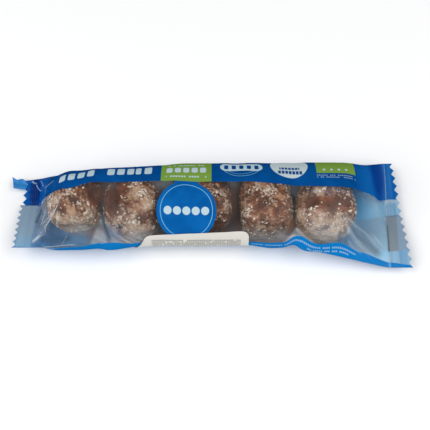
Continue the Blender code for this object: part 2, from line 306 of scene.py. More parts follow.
def wrap_point(x, girth):
    """Points of the tube between the roots of its seals, as an array of X, Y and Z."""
    body_y, body_z = body_point(x, girth)
    right_y, right_z = right_seal_point(girth)
    left_y, left_z = left_seal_point(girth)
    full = fullness(x, right_root(girth), by_side(RIGHT_TAPER, girth),
                    by_side(RIGHT_SHOULDER, girth))
    y = mix(right_y, body_y, full)
    z = mix(right_z, body_z, full)
    full = fullness(x, LEFT_ROOT, by_side(LEFT_TAPER, girth), by_side(LEFT_SHOULDER, girth))
    return np.stack((x, mix(left_y, y, full), mix(left_z, z, full)), axis=-1)


def tooth_cut(share):
    """How far the cut edge steps back between the tips of its teeth."""
    return TOOTH_DEPTH * (1.0 - np.abs(2.0 * ((share * TEETH) % 1.0) - 1.0))


def right_seal(out, girth):
    """Points of the right seal: out is 0 at its root and 1 at its cut edge."""
    share = strip_share(girth)
    y, z = right_seal_point(girth)
    tip = mix(RIGHT_TIP_FAR, RIGHT_TIP_NEAR, share) - tooth_cut(share)
    return np.stack((mix(right_root(girth), tip, out), y, z), axis=-1)


def left_seal(out, girth):
    """Points of the left seal, whose far part ends a little short of the near one and dips."""
    share = strip_share(girth)
    y, z = left_seal_point(girth)
    bent = 1.0 - smooth((share - LEFT_FOLD_SHARE + LEFT_BEND) / LEFT_BEND)
    tip = mix(LEFT_TIP_NEAR, LEFT_TIP_FAR, bent) + tooth_cut(share)
    return np.stack((mix(LEFT_ROOT, tip, out), y, z - LEFT_FAR_TIP_DROP * bent * out), axis=-1)


def film_grid(columns, body_rows, seal_rows):
    """Points of the bare film as rows of columns, with the share along the pack of each row.

    That share is below 0 on the left seal, 0 to 1 round the balls and over 1 on the right seal.
    """
    shares = np.concatenate((np.linspace(-1.0, 0.0, seal_rows, endpoint=False),
                             np.linspace(0.0, 1.0, body_rows, endpoint=False),
                             np.linspace(1.0, 2.0, seal_rows + 1)))
    share, girth = np.meshgrid(shares, np.arange(columns) / columns, indexing="ij")
    body_x = mix(LEFT_ROOT, right_root(girth), np.clip(share, 0.0, 1.0))
    points = wrap_point(body_x, girth)
    points = np.where((share < 0.0)[..., None], left_seal(-share, girth), points)
    points = np.where((share > 1.0)[..., None], right_seal(share - 1.0, girth), points)
    points[..., 0] -= MIDDLE
    return points, share, girth


# Low relief of the film. Sharp creases, in millimetres: X and the way round the film of both
# ends, half width and height
CREASES = (
    (-65.4, 33.0, -73.0, 44.5, 0.8, 0.40),
    (-72.0, 43.5, -80.5, 52.3, 1.0, 0.60),
    (62.0, 37.0, 78.0, 48.0, 1.6, 0.30),
    (64.0, 41.5, 80.0, 51.0, 1.3, 0.25),
)
# Broad swells and one hollow of the film towards the left seal, in the same way
SWELLS = (
    (-82.0, 4.0, -66.0, 16.0, 8.0, 0.80),
    (-64.0, 8.0, -52.0, 14.0, 7.0, -0.60),
)
SLACK_SCALE = 11.0 * MM
SLACK_SHORTER_ROUND = 0.7
SLACK_HEIGHT = 0.30 * MM
SLACK_SEED = 3.0
GATHER_SCALE = 3.4 * MM
GATHER_STRETCH = 6.0
GATHER_HEIGHT = 0.50 * MM
GATHER_REACH = 15.0 * MM
GATHER_RIGHT = 0.2
GATHER_SEED = 17.0
CRINKLE_SCALE = 1.7 * MM
CRINKLE_HEIGHT = 0.045 * MM
CRINKLE_SEED = 41.0
ROUND_RADIUS = GIRTH / (2.0 * pi)


def film_noise(x, girth, scale_x, scale_round, seed):
    """Smooth noise from -1 to 1 over the film, with no seam where its girth begins again."""
    turn = 2.0 * pi * girth
    places = np.stack((x / scale_x + seed, ROUND_RADIUS * np.cos(turn) / scale_round,
                       ROUND_RADIUS * np.sin(turn) / scale_round), axis=-1)
    return noise_at(places).reshape(np.shape(x))


def ridges(x, girth, lines):
    """For each line of a list: its height in metres, and how near to it the film's points are."""
    for start_x, start_round, end_x, end_round, width, height in lines:
        start = (start_x * MM, start_round * MM / GIRTH)
        end = (end_x * MM, end_round * MM / GIRTH)
        yield height * MM, ridge(x, girth, start, end, width * MM)


def crease_lines(x, girth):
    """The height of the sharp creases alone."""
    rise = np.zeros(np.shape(x))
    for height, share in ridges(x, girth, CREASES):
        rise = np.maximum(rise, height * share)
    return rise


def swell(x, girth):
    """The height of the broad swells."""
    rise = np.zeros(np.shape(x))
    for height, share in ridges(x, girth, SWELLS):
        rise += height * smooth(share)
    return rise


def film_relief(x, girth):
    """How far the film stands off its bare form: slack, gathers by the seals, and crinkles."""
    to_left = np.exp(-np.maximum(x - (LEFT_ROOT - MIDDLE), 0.0) / GATHER_REACH)
    to_right = np.exp(-np.maximum(RIGHT_ROOT_NEAR - MIDDLE - x, 0.0) / GATHER_REACH)
    gathered = np.maximum(to_left, to_right * GATHER_RIGHT)
    slack = film_noise(x, girth, SLACK_SCALE, SLACK_SCALE * SLACK_SHORTER_ROUND, SLACK_SEED)
    gather = film_noise(x, girth, GATHER_SCALE * GATHER_STRETCH, GATHER_SCALE, GATHER_SEED)
    crinkle = film_noise(x, girth, CRINKLE_SCALE, CRINKLE_SCALE, CRINKLE_SEED)
    return (SLACK_HEIGHT * slack + GATHER_HEIGHT * gather * gathered
            + CRINKLE_HEIGHT * crinkle + crease_lines(x, girth) + swell(x, girth))


# Where the print lies. It is fixed to the flat film, in millimetres along it and round it,
# and these two profiles say where two of its edges come to lie once the film is round the balls.
PRINT_LENGTH = 200.0
PRINT_ROUND = 109.2
BAND_EDGE = 23.9
STRIPE_EDGE = 53.8
BAND_EDGE_PLACES = ((-82.0, 20.4), (-70.0, 26.6), (-64.0, 26.4), (-48.5, 22.0), (-41.0, 23.1),
                    (-21.0, 22.8), (-4.0, 23.9), (14.5, 23.6), (47.0, 26.0), (66.0, 26.8),
                    (77.5, 24.0), (84.5, 19.6))
STRIPE_EDGE_PLACES = ((-84.0, 54.2), (-70.0, 55.6), (-58.5, 53.8), (-44.0, 51.0), (-30.0, 53.8),
                      (18.7, 53.8), (33.5, 51.9), (41.6, 48.6), (47.8, 50.3), (59.4, 47.9),
                      (68.4, 50.0), (82.2, 52.3), (91.0, 53.4))


def in_metres(places):
    """A profile whose places are given in millimetres."""
    return tuple((x * MM, value) for x, value in places)


def round_film(girth):
    """The way round the film in millimetres, from its far fold."""
    return girth * GIRTH / MM


def print_places(x, girth):
    """Where points of the film lie on the print, as the two numbers of a UV map, both 0 to 1."""
    around = round_film(girth)
    band = along_pack(in_metres(BAND_EDGE_PLACES), x)
    stripe = along_pack(in_metres(STRIPE_EDGE_PLACES), x)
    on_band = around / band * BAND_EDGE
    on_window = mix(BAND_EDGE, STRIPE_EDGE, (around - band) / (stripe - band))
    on_back = mix(STRIPE_EDGE, PRINT_ROUND, (around - stripe) / (PRINT_ROUND - stripe))
    printed = np.where(around < band, on_band, np.where(around < stripe, on_window, on_back))
    return np.stack((x / MM / PRINT_LENGTH + 0.5, printed / PRINT_ROUND), axis=-1)


# Meshes and pieces

def add_piece(name, mesh_data, material):
    """A piece of the pack, which has one body."""
    piece = bpy.data.objects.new(name, mesh_data)
    bpy.context.scene.collection.objects.link(piece)
    mesh_data.materials.append(material)
    mesh_data.shade_smooth()
    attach(piece, "root")
    return piece


def grid_corners(rows, columns, around):
    """The grid places of each quad's four corners, as rows and as columns that don't wrap."""
    row, column = np.meshgrid(np.arange(rows - 1), np.arange(columns if around else columns - 1),
                              indexing="ij")
    corner_rows = np.stack((row, row, row + 1, row + 1), axis=-1).reshape(-1, 4)
    corner_columns = np.stack((column, column + 1, column + 1, column), axis=-1).reshape(-1, 4)
    return corner_rows, corner_columns


def kept_corners(shape, keep):
    """The points that the kept quads of a grid closed round its columns use."""
    corner_rows, corner_columns = grid_corners(shape[0], shape[1], True)
    chosen = keep.reshape(-1)
    return corner_rows[chosen] * shape[1] + corner_columns[chosen] % shape[1]


def grid_mesh(name, points, places=None, around=False, keep=None):
    """A mesh through a grid of points, closed round its columns if it goes around."""
    rows, columns = points.shape[:2]
    corner_rows, corner_columns = grid_corners(rows, columns, around)
    if keep is not None:
        chosen = keep.reshape(-1)
        corner_rows, corner_columns = corner_rows[chosen], corner_columns[chosen]
    faces = corner_rows * columns + corner_columns % columns
    used, faces = np.unique(faces, return_inverse=True)
    mesh_data = bpy.data.meshes.new(name)
    mesh_data.from_pydata(points.reshape(-1, 3)[used].tolist(), [], faces.reshape(-1, 4).tolist())
    if places is not None:
        corners = places[corner_rows, corner_columns].astype(np.float32)
        mesh_data.uv_layers.new(name="print").data.foreach_set("uv", corners.ravel())
    return mesh_data


def grid_normals(points):
    """The outward directions at the points of a grid that is closed round its columns."""
    along = np.gradient(points, axis=0)
    turn = np.roll(points, -1, axis=1) - np.roll(points, 1, axis=1)
    normals = np.cross(turn, along)
    return normals / np.maximum(np.linalg.norm(normals, axis=-1, keepdims=True), TINY)


def set_point_values(mesh_data, **layers):
    """Keeps numbers for each point of a mesh under these names, for its material to read."""
    for name, values in layers.items():
        layer = mesh_data.attributes.new(name, "FLOAT", "POINT")
        layer.data.foreach_set("value", np.asarray(values, dtype=np.float32).ravel())


def point_values(mesh_data, name):
    values = np.empty(len(mesh_data.vertices), dtype=np.float32)
    mesh_data.attributes[name].data.foreach_get("value", values)
    return values.astype(float)


def mesh_points(mesh_data):
    points = np.empty(len(mesh_data.vertices) * 3, dtype=np.float32)
    mesh_data.vertices.foreach_get("co", points)
    return points.reshape(-1, 3).astype(float)


def noise_at(places):
    """Smooth noise from -1 to 1 at an array of places."""
    return np.array([noise.noise(place) for place in places.reshape(-1, 3).tolist()])


def close_sheet(mesh_data, shape):
    """Fills both ends of a flat tube whose columns run out on one side and back on the other."""
    rows, columns = shape[:2]
    builder = bmesh.new()
    builder.from_mesh(mesh_data)
    builder.verts.ensure_lookup_table()
    for row, turned in ((0, False), (rows - 1, True)):
        ends = [builder.verts[row * columns + column] for column in range(columns)]
        for column in range(columns // 2 - 1):
            back = columns - 1 - column
            face = [ends[column], ends[back], ends[back - 1], ends[column + 1]]
            builder.faces.new(face[::-1] if turned else face)
    bmesh.ops.recalc_face_normals(builder, faces=builder.faces)
    builder.to_mesh(mesh_data)
    builder.free()


def sheet_mesh(name, outer, inner, places):
    """A thin closed sheet between two grids of points, with the same places on both sides."""
    wrapped = np.concatenate((outer, inner[:, ::-1]), axis=1)
    places = np.concatenate((places, places[:, ::-1], places[:, :1]), axis=1)
    mesh_data = grid_mesh(name, wrapped, places, around=True)
    close_sheet(mesh_data, wrapped.shape)
    return mesh_data


# The film

# How high a crease is where it is quite white, whitened and with a painted highlight, and the
# painted highlight line at the right seal's root: where it is and how wide, as shares of the
# pack and the seal, and how white
CREASE_WHITE = 0.5 * MM
ROOT_LINE = 1.05
ROOT_WIDTH = 0.035
ROOT_WHITE = 0.9
# Milky facets with painted sheen: three corners as X and millimetres round the film, and how milky
VEILS = (
    (((-46.2, 39.4), (-52.2, 53.5), (-43.1, 53.5)), 0.19),
    (((-45.7, 39.4), (-41.8, 53.5), (-33.6, 52.4)), 0.13),
    (((39.3, 45.8), (32.6, 53.0), (48.4, 51.6)), 0.34),
    (((60.5, 36.5), (64.0, 54.0), (82.0, 52.5)), 0.13),
)
VEIL_SOFT = 1.7
# Soft spots: milky ones, then painted blue light and painted brown light bounced off the balls;
# the middle as X and millimetres round the film, the half sizes both ways and how strong they are
MILKY_SPOTS = (
    (-42.5, 24.5, 3.5, 3.0, 0.05),
    (-19.5, 24.0, 4.5, 4.0, 0.12),
    (11.4, 24.5, 3.0, 3.5, 0.05),
    (37.8, 26.5, 2.6, 5.0, 0.07),
    (-57.0, 49.5, 9.0, 4.0, 0.03),
    (-31.5, 51.5, 7.5, 5.0, 0.26),
    (24.0, 50.2, 9.0, 3.2, 0.15),
    (32.6, 48.8, 3.6, 2.6, 0.24),
    (-56.0, 43.8, 6.5, 2.6, 0.13),
    (52.5, 49.0, 9.0, 4.5, 0.16),
    (54.0, 28.3, 9.0, 2.4, 0.03),
)
# Painted blue light, where light through the film brightens shaded places
BLUE_LIGHT_SPOTS = (
    (-74.5, 53.0, 5.0, 3.0, 0.12),
    (-57.0, 50.5, 11.0, 4.0, 0.04),
    (-40.5, 48.5, 3.6, 5.0, 0.13),
    (70.5, 32.0, 4.2, 7.5, 0.14),
    (55.0, 28.3, 8.0, 2.2, 0.06),
    (78.0, 29.0, 5.0, 7.0, 0.10),
)
# Painted brown light, as bounced off the balls into the gaps between them
BROWN_LIGHT_SPOTS = (
    (-46.0, 27.5, 3.0, 5.0, 0.11),
    (11.0, 33.0, 2.6, 9.0, 0.11),
    (36.4, 44.0, 1.8, 3.5, 0.28),
)
# How much the film is frosted low on its near side, by X in millimetres
FROST_PLACES = ((-80.0, 0.08), (-62.0, 0.20), (-50.0, 0.14), (-34.0, 0.13), (-8.0, 0.03),
                (24.0, 0.03), (36.0, 0.05), (46.0, 0.15), (60.0, 0.16), (76.0, 0.04))
FROST_FROM = 33.0
FROST_TO = 46.0
# The back seam's place round the film, and the room that it takes below the film
FIN_FROM = 0.5815
FIN_TO = 0.751
FIN_ROOM = 0.32 * MM
FIN_SOFT = 0.012
# How much coarser the lining's mesh is than the film's, and how many of the film's columns it
# stops short of the band's edge
LINING_COARSENESS = 2
LINING_MARGIN = 2.0


def in_fin(girth):
    """1 where the back seam lies against the film, 0 elsewhere."""
    after = smooth((girth - FIN_FROM + FIN_SOFT) / FIN_SOFT)
    before = smooth((FIN_TO + FIN_SOFT - girth) / FIN_SOFT)
    return after * before


def seal_depth(share):
    """0 at a seal's root and 1 at its cut edge, below 0 round the balls."""
    return np.maximum(-share, share - 1.0)


def rib_height(x, share):
    """The fine crimp of the seals' inner part: ribs that run along the seals' long direction."""
    depth = seal_depth(share)
    crimped = smooth((depth - RIBS_FROM) * RIB_SHARPNESS)
    crimped *= smooth((RIBS_TO - depth) * RIB_SHARPNESS)
    return RIB_HEIGHT * np.sin(2.0 * pi * x / RIB_PITCH) * crimped


def film_surface(columns, body_rows, seal_rows, offset=0.0):
    """The film with its relief and its crimp, moved outwards by the offset."""
    points, share, girth = film_grid(columns, body_rows, seal_rows)
    normals = grid_normals(points)
    x = points[..., 0]
    side = layer_side(girth)
    on_body = smooth(share * ROOT_SHARPNESS) * smooth((1.0 - share) * ROOT_SHARPNESS)
    lift = film_relief(x, girth) * on_body + offset * np.where(side == 0.0, on_body, 1.0)
    lift += rib_height(x, share) * side
    points = points + normals * lift[..., None]
    floor = FILM_FLOOR + FIN_ROOM * in_fin(girth) - offset
    points[..., 2] = np.maximum(points[..., 2], floor)
    return points, share, girth


def close_ends(points):
    """Brings the two layers of each seal together along its cut edge."""
    columns = points.shape[1]
    mirror = -np.arange(columns) % columns
    for row in (0, -1):
        points[row] = (points[row] + points[row, mirror]) / 2


def round_places(points, girth):
    """Print places of a grid, with one more column where the girth comes round to its start."""
    x = points[..., 0]
    x = np.concatenate((x, x[:, :1]), axis=1)
    girth = np.concatenate((girth, np.ones((len(girth), 1))), axis=1)
    return print_places(x, girth)


def build_film(material):
    """The film: one closed tube, with what its material needs kept for each point."""
    points, share, girth = film_surface(COLUMNS, BODY_ROWS, SEAL_ROWS)
    close_ends(points)
    mesh_data = grid_mesh("film", points, round_places(points, girth), around=True)
    x = points[..., 0]
    set_point_values(mesh_data, crease=crease_share(x, share, girth),
                     veil=veil_share(x, girth) + soft_spots(x, girth, MILKY_SPOTS),
                     # Painted blue light
                     tint=soft_spots(x, girth, BLUE_LIGHT_SPOTS),
                     # Painted brown light bounced off the balls
                     smear=soft_spots(x, girth, BROWN_LIGHT_SPOTS),
                     frost=frost_share(x, girth), seal=seal_depth(share))
    return add_piece("film", mesh_data, material)


def crease_share(x, share, girth):
    """Whitening and painted highlight on the film's sharp creases and right seal's root, 0 to 1.
    """
    on_body = (share >= 0.0) & (share <= 1.0)
    lines = np.where(on_body, np.clip(crease_lines(x, girth) / CREASE_WHITE, 0.0, 1.0), 0.0)
    return np.maximum(lines, ROOT_WHITE * np.exp(-((share - ROOT_LINE) / ROOT_WIDTH) ** 2))


def cross_run(start, end, x, y):
    """Twice the area of the triangle from start to end to a point, above 0 on its left side."""
    return (end[0] - start[0]) * (y - start[1]) - (end[1] - start[1]) * (x - start[0])


def facet(x, around, corners):
    """1 inside a triangle of the film, 0 outside it, with a soft edge."""
    inside = np.full(np.shape(x), 1.0)
    turn = 1.0 if cross_run(corners[0], corners[1], *corners[2]) > 0.0 else -1.0
    for start, end in zip(corners, corners[1:] + corners[:1]):
        length = hypot(end[0] - start[0], end[1] - start[1])
        inward = turn * cross_run(start, end, x, around) / length
        inside = np.minimum(inside, inward / VEIL_SOFT + 0.5)
    return smooth(inside)


def veil_share(x, girth):
    """How milky the film looks where it is drawn into facets, with painted sheen there, 0 to 1."""
    veil = np.zeros(np.shape(x))
    for corners, share in VEILS:
        veil = np.maximum(veil, share * facet(x / MM, round_film(girth), corners))
    return veil


def soft_spots(x, girth, spots):
    """How strong the soft spots are over the film."""
    total = np.zeros(np.shape(x))
    for middle_x, middle_round, half_x, half_round, share in spots:
        along = (x / MM - middle_x) / half_x
        aside = (round_film(girth) - middle_round) / half_round
        total += share * np.exp(-(along ** 2 + aside ** 2))
    return total


def frost_share(x, girth):
    """How much the film is frosted low on its near side, where it touches the balls."""
    low = smooth((round_film(girth) - FROST_FROM) / (FROST_TO - FROST_FROM))
    return low * along_pack(in_metres(FROST_PLACES), x)


def build_lining(material):
    """The pale inner side of the printed areas, just inside the film."""
    fineness = [count // LINING_COARSENESS for count in (COLUMNS, BODY_ROWS, SEAL_ROWS)]
    points, share, girth = film_surface(*fineness, -LINING_INSET)
    places = round_places(points, girth)
    printed_round = places[:-1, :-1, 1] * PRINT_ROUND
    margin = PRINT_ROUND / COLUMNS * LINING_MARGIN
    keep = (printed_round > STRIPE_EDGE) | (printed_round < BAND_EDGE - margin)
    mesh_data = grid_mesh("print_lining", points, places, around=True, keep=keep)
    used = np.unique(kept_corners(points.shape, keep))
    set_point_values(mesh_data, seal=seal_depth(share).ravel()[used])
    mesh_data.flip_normals()
    return add_piece("print_lining", mesh_data, material)


# The balls

# Middle X and Y, length, depth and height in millimetres, squareness, and how much fine coconut
# is rubbed into the lower side, which also sets the painted light on the outline low down
BALLS = (
    ("ball_1", -60.0, 1.2, 25.2, 24.4, 25.2, 2.5, 0.9),
    ("ball_2", -33.4, -1.2, 28.2, 28.0, 27.4, 2.25, 1.0),
    ("ball_3", -3.6, -0.3, 29.2, 28.0, 28.0, 2.3, 0.15),
    ("ball_4", 26.2, -0.6, 22.6, 26.5, 27.6, 3.8, 0.5),
    ("ball_5", 52.8, -2.6, 27.0, 27.5, 27.8, 2.7, 1.0),
)
# Lumps of a hand-rolled ball, from broad to fine: their scale and height
BALL_LUMPS = ((8.5 * MM, 0.95 * MM), (3.6 * MM, 0.50 * MM), (1.6 * MM, 0.30 * MM),
              (0.7 * MM, 0.12 * MM))
LUMP_SEED_STEP = 11.0
BALL_LIFT = 0.4 * MM
BALL_FINENESS = 6
# How far up the rubbed-in coconut and the ball's low side reach, from -1 below to 1 on top; they
# also set the painted shade and painted light of the outline low down
POWDER_TOP = 0.62
POWDER_SPREAD = 0.9
RIM_LOW_FROM = 0.15
RIM_LOW_SPREAD = 0.55
# The room between the film and the balls, and between the film and the flakes
FILM_MARGIN = 0.30 * MM
FLAKE_MARGIN = 0.08 * MM
SPOT_FALL = 2.0
# Craggy hollows: the ball, the direction from its middle, the radius and the depth in millimetres
HOLLOWS = (
    (4, (-0.44, -0.18, 0.88), 4.2, 1.7),
    (4, (0.08, -0.34, 0.94), 4.4, 1.7),
    (4, (0.58, -0.17, 0.79), 3.8, 1.6),
    (4, (-0.06, -0.88, 0.47), 2.3, 0.9),
    (4, (0.80, -0.75, 0.00), 5.5, 1.4),
    (1, (0.35, -0.75, 0.60), 3.4, 1.1),
    (1, (-0.75, -0.10, 0.75), 8.5, 2.8),
    (3, (-0.20, -0.50, 0.85), 3.0, 1.1),
    (3, (0.30, -0.60, 0.75), 2.6, 1.0),
    (0, (0.10, -0.40, 0.90), 2.8, 1.0),
    (0, (-0.30, -0.60, 0.70), 2.4, 0.9),
    (0, (0.72, 0.00, 0.70), 5.5, 1.8),
    (0, (0.96, -0.10, 0.25), 5.0, 1.2),
    (2, (0.60, -0.40, 0.70), 2.6, 1.0),
    (2, (0.55, -0.82, 0.16), 5.0, 1.1),
)
# The depth at which a hollow's painted shade is darkest
HOLLOW_DARKEST = 1.5 * MM
# Soft pale places: the ball, the direction from its middle and the radius in millimetres
DUSTY = (
    (0, (0.46, -0.80, 0.39), 4.5), (0, (0.0, -0.88, 0.47), 6.0), (0, (-0.45, -0.78, 0.43), 4.5),
    (0, (-0.31, -0.89, 0.33), 3.4), (0, (-0.55, -0.30, 0.75), 3.2),
    (0, (-0.50, 0.70, 0.50), 4.0), (0, (0.60, 0.75, 0.20), 3.0),
    (1, (0.12, -0.08, 0.99), 5.0), (1, (0.12, -0.91, 0.38), 6.5), (1, (-0.34, -0.39, 0.86), 3.4),
    (1, (-0.50, -0.76, 0.42), 4.2), (1, (0.50, -0.35, 0.79), 4.5), (1, (0.20, 0.90, 0.30), 5.0),
    (2, (0.80, -0.30, 0.50), 3.2), (2, (-0.60, 0.70, 0.30), 4.5), (2, (0.10, 0.85, 0.50), 4.0),
    (3, (-0.67, -0.30, 0.68), 3.2), (3, (-0.20, -0.95, 0.25), 3.0), (3, (0.30, 0.90, 0.30), 4.5),
    (4, (-0.27, 0.09, 0.95), 3.6), (4, (-0.12, -0.78, 0.61), 6.5), (4, (0.39, -0.77, 0.51), 5.5),
    (4, (0.00, -0.98, 0.20), 6.0), (4, (0.42, -0.90, 0.10), 5.5), (4, (-0.42, -0.90, 0.10), 5.5),
    (4, (-0.75, -0.45, 0.45), 4.0), (4, (0.30, 0.90, 0.30), 5.0),
)
# Patches thick with coconut: the ball, the direction from its middle and the radius in millimetres
PATCHES = (
    (0, (-0.16, -0.10, 0.98), 2.6), (0, (-0.72, -0.20, 0.66), 2.4), (0, (0.20, -0.42, 0.88), 2.2),
    (0, (0.52, -0.73, 0.44), 2.6), (0, (-0.20, 0.80, 0.50), 4.0), (0, (0.40, 0.50, 0.75), 3.0),
    (1, (0.15, 0.42, 0.89), 3.6), (1, (0.39, -0.04, 0.92), 2.6), (1, (-0.30, -0.20, 0.93), 2.4),
    (1, (0.10, -0.75, 0.65), 2.4), (1, (-0.40, 0.80, 0.40), 3.4),
    (2, (0.65, 0.00, 0.76), 3.2), (2, (0.79, -0.25, 0.56), 2.4), (2, (-0.30, 0.40, 0.87), 3.6),
    (2, (-0.70, -0.30, 0.65), 3.0),
    (3, (-0.28, 0.15, 0.94), 2.6), (3, (0.04, -0.05, 0.99), 2.6), (3, (0.66, 0.50, 0.55), 3.2),
    (3, (-0.55, -0.55, 0.63), 2.2), (3, (-0.10, 0.85, 0.50), 3.4),
    (4, (-0.44, -0.42, 0.79), 2.2), (4, (0.32, -0.59, 0.74), 2.8), (4, (0.80, -0.17, 0.58), 2.2),
    (4, (-0.11, -0.81, 0.57), 2.4), (4, (0.42, -0.77, 0.48), 2.6), (4, (-0.30, 0.12, 0.95), 1.6),
    (4, (0.20, 0.80, 0.56), 3.6),
)


def film_tree(film):
    """A search tree of the film's faces, to keep what is inside it inside."""
    mesh_data = film.data
    points = [tuple(point) for point in mesh_points(mesh_data)]
    faces = [tuple(polygon.vertices) for polygon in mesh_data.polygons]
    return BVHTree.FromPolygons(points, faces)


def keep_inside(points, middle, tree, margin):
    """Draws points in towards the ball's middle until they are inside the film by the margin."""
    kept = []
    for point in points.tolist():
        out = Vector(point) - middle
        reach = out.length
        hit, _, _, distance = tree.ray_cast(middle, out)
        if hit is not None and reach > distance - margin:
            out *= (distance - margin) / reach
        kept.append(middle + out)
    return np.array(kept)


def lumps(body, seed):
    """How far the lumps stand out at the points of a smooth ball."""
    rise = np.zeros(len(body))
    for scale, height in BALL_LUMPS:
        rise += height * noise_at(body / scale + seed)
    return rise


def around_spot(body, direction, radius):
    """1 at the spot of a ball in this direction, down to 0 round it."""
    towards = np.array(direction) / np.linalg.norm(direction)
    apart = np.linalg.norm(body - towards * (body @ towards).max(), axis=1)
    return np.exp(-(apart / radius) ** 2 * SPOT_FALL)


def spot_share(spots, number, body):
    """1 in the middle of a ball's spots and 0 away from them."""
    shares = [around_spot(body, direction, radius * MM)
              for ball, direction, radius in spots if ball == number]
    return np.max(shares, axis=0)


def round_mesh(name):
    """A fine ball of radius 1, and the directions of its points."""
    builder = bmesh.new()
    bmesh.ops.create_icosphere(builder, subdivisions=BALL_FINENESS, radius=1.0)
    mesh_data = bpy.data.meshes.new(name)
    builder.to_mesh(mesh_data)
    builder.free()
    out = mesh_points(mesh_data)
    return mesh_data, out / np.linalg.norm(out, axis=1, keepdims=True)


def hollow_depth(number, body):
    """How deep a ball's hollows are at its points."""
    dip = np.zeros(len(body))
    for ball, direction, radius, depth in HOLLOWS:
        if ball == number:
            dip += depth * MM * around_spot(body, direction, radius * MM)
    return dip


def build_ball(number, tree, material):
    """A ball, squarish where its neighbours press it, kept inside the film."""
    name, x, y, length, depth, height, squareness, powder = BALLS[number]
    mesh_data, out = round_mesh(name)
    reach = (np.abs(out) ** squareness).sum(axis=1) ** (-1.0 / squareness)
    half = np.array((length, depth, height)) * MM / 2
    middle = np.array((x * MM, y * MM, height * MM / 2 + BALL_LIFT))
    body = out * reach[:, None] * half
    dip = hollow_depth(number, body)
    rise = lumps(body, LUMP_SEED_STEP * (number + 1)) - dip
    points = keep_inside(middle + body + out * rise[:, None], Vector(middle), tree, FILM_MARGIN)
    mesh_data.vertices.foreach_set("co", points.astype(np.float32).ravel())
    mesh_data.update()
    up = out[:, 2]
    set_point_values(mesh_data, powder=powder * smooth((POWDER_TOP - up) / POWDER_SPREAD),
                     # How deep the hollows are, for their painted shade
                     hollow=np.clip(dip / HOLLOW_DARKEST, 0.0, 1.0),
                     patch=spot_share(PATCHES, number, body), dust=spot_share(DUSTY, number, body),
                     low=smooth((RIM_LOW_FROM - up) / RIM_LOW_SPREAD))
    return add_piece(name, mesh_data, material), Vector(middle)


# The coconut flakes: thin curved slivers, half sunk in the balls

FLAKES_PER_BALL = 130
FLAKE_LENGTH = (0.9 * MM, 2.3 * MM)
FLAKE_WIDTH = (0.6 * MM, 1.2 * MM)
CRUMBS_PER_BALL = 260
CRUMB_LENGTH = (0.6 * MM, 1.3 * MM)
CRUMB_WIDTH = (0.5 * MM, 1.0 * MM)
FLAKE_THICKNESS = 0.28 * MM
FLAKE_RISE = 0.06 * MM
FLAKE_STATIONS = np.array((-0.5, -0.28, 0.0, 0.28, 0.5))
FLAKE_TAPER = np.array((0.45, 0.95, 1.0, 0.9, 0.4))
# The most that a flake tips up and rolls over, and how much it bends and sways, in shares
FLAKE_TIP = 0.35
FLAKE_ROLL = 0.45
FLAKE_BEND = (-0.10, 0.45)
FLAKE_SWAY = 0.35
FLAKE_SEED = 5
TONE_POWER = 1.5
# Where flakes like to stick, away from the patches thick with them
CLUSTER_SCALE = 4.5 * MM
CLUSTER_MEAN = 0.15
CLUSTER_GAIN = 2.4
CLUSTER_LEAST = 0.05
LONE_FLAKES = 0.22
LEAST_LIKING = 0.02


def flake_seats(mesh_data, count, draw):
    """Places and directions on a ball where flakes stick, thick in patches and thin elsewhere."""
    points = mesh_points(mesh_data)
    normals = np.array([tuple(vertex.normal) for vertex in mesh_data.vertices])
    scatter = CLUSTER_MEAN + CLUSTER_GAIN * noise_at(points / CLUSTER_SCALE)
    liking = LONE_FLAKES * np.clip(scatter, CLUSTER_LEAST, 1.0) + point_values(mesh_data, "patch")
    liking *= (1.0 - point_values(mesh_data, "hollow")) ** 2 + LEAST_LIKING
    seats = draw.choice(len(points), size=count, replace=False, p=liking / liking.sum())
    return points[seats], normals[seats]


def unit(directions):
    return directions / np.linalg.norm(directions, axis=1, keepdims=True)


def sliver_points(seats, normals, lengths, widths, draw):
    """Four points at each station of each sliver, as slivers, stations, points and XYZ."""
    count = len(seats)
    run = unit(np.cross(normals, draw.normal(size=(count, 3))))
    lift = unit(normals + draw.uniform(-FLAKE_TIP, FLAKE_TIP, size=(count, 1)) * run)
    run = unit(run - lift * (run * lift).sum(axis=1, keepdims=True))
    across = np.cross(lift, run)
    roll = draw.uniform(-FLAKE_ROLL, FLAKE_ROLL, size=(count, 1))
    wide = across * np.cos(roll) + lift * np.sin(roll)
    thick = lift * np.cos(roll) - across * np.sin(roll)
    bend = draw.uniform(*FLAKE_BEND, size=count)
    sway = draw.uniform(-FLAKE_SWAY, FLAKE_SWAY, size=count)
    station = FLAKE_STATIONS[None, :]
    length = lengths[:, None]
    drop = length * bend[:, None] * station ** 2
    side = length * sway[:, None] * station ** 2
    middle = (seats[:, None] + run[:, None] * (length * station)[..., None]
              + across[:, None] * side[..., None] + lift[:, None] * (FLAKE_RISE - drop)[..., None])
    half_width = (widths[:, None] * FLAKE_TAPER[None, :] / 2)[..., None]
    half_thick = FLAKE_THICKNESS / 2
    corners = [middle + wide[:, None] * half_width * a + thick[:, None] * half_thick * b
               for a, b in ((-1, -1), (1, -1), (1, 1), (-1, 1))]
    return np.stack(corners, axis=2)


def sliver_faces(count):
    """Quads of closed slivers, as indices into their points in order."""
    stations = len(FLAKE_STATIONS)
    last = (stations - 1) * 4
    faces = []
    for start in range(0, last, 4):
        for corner in range(4):
            after = (corner + 1) % 4
            faces.append((start + corner, start + after, start + 4 + after, start + 4 + corner))
    faces.append((3, 2, 1, 0))
    faces.append((last, last + 1, last + 2, last + 3))
    pattern = np.array(faces)
    return (pattern[None] + (np.arange(count) * stations * 4)[:, None, None]).reshape(-1, 4)


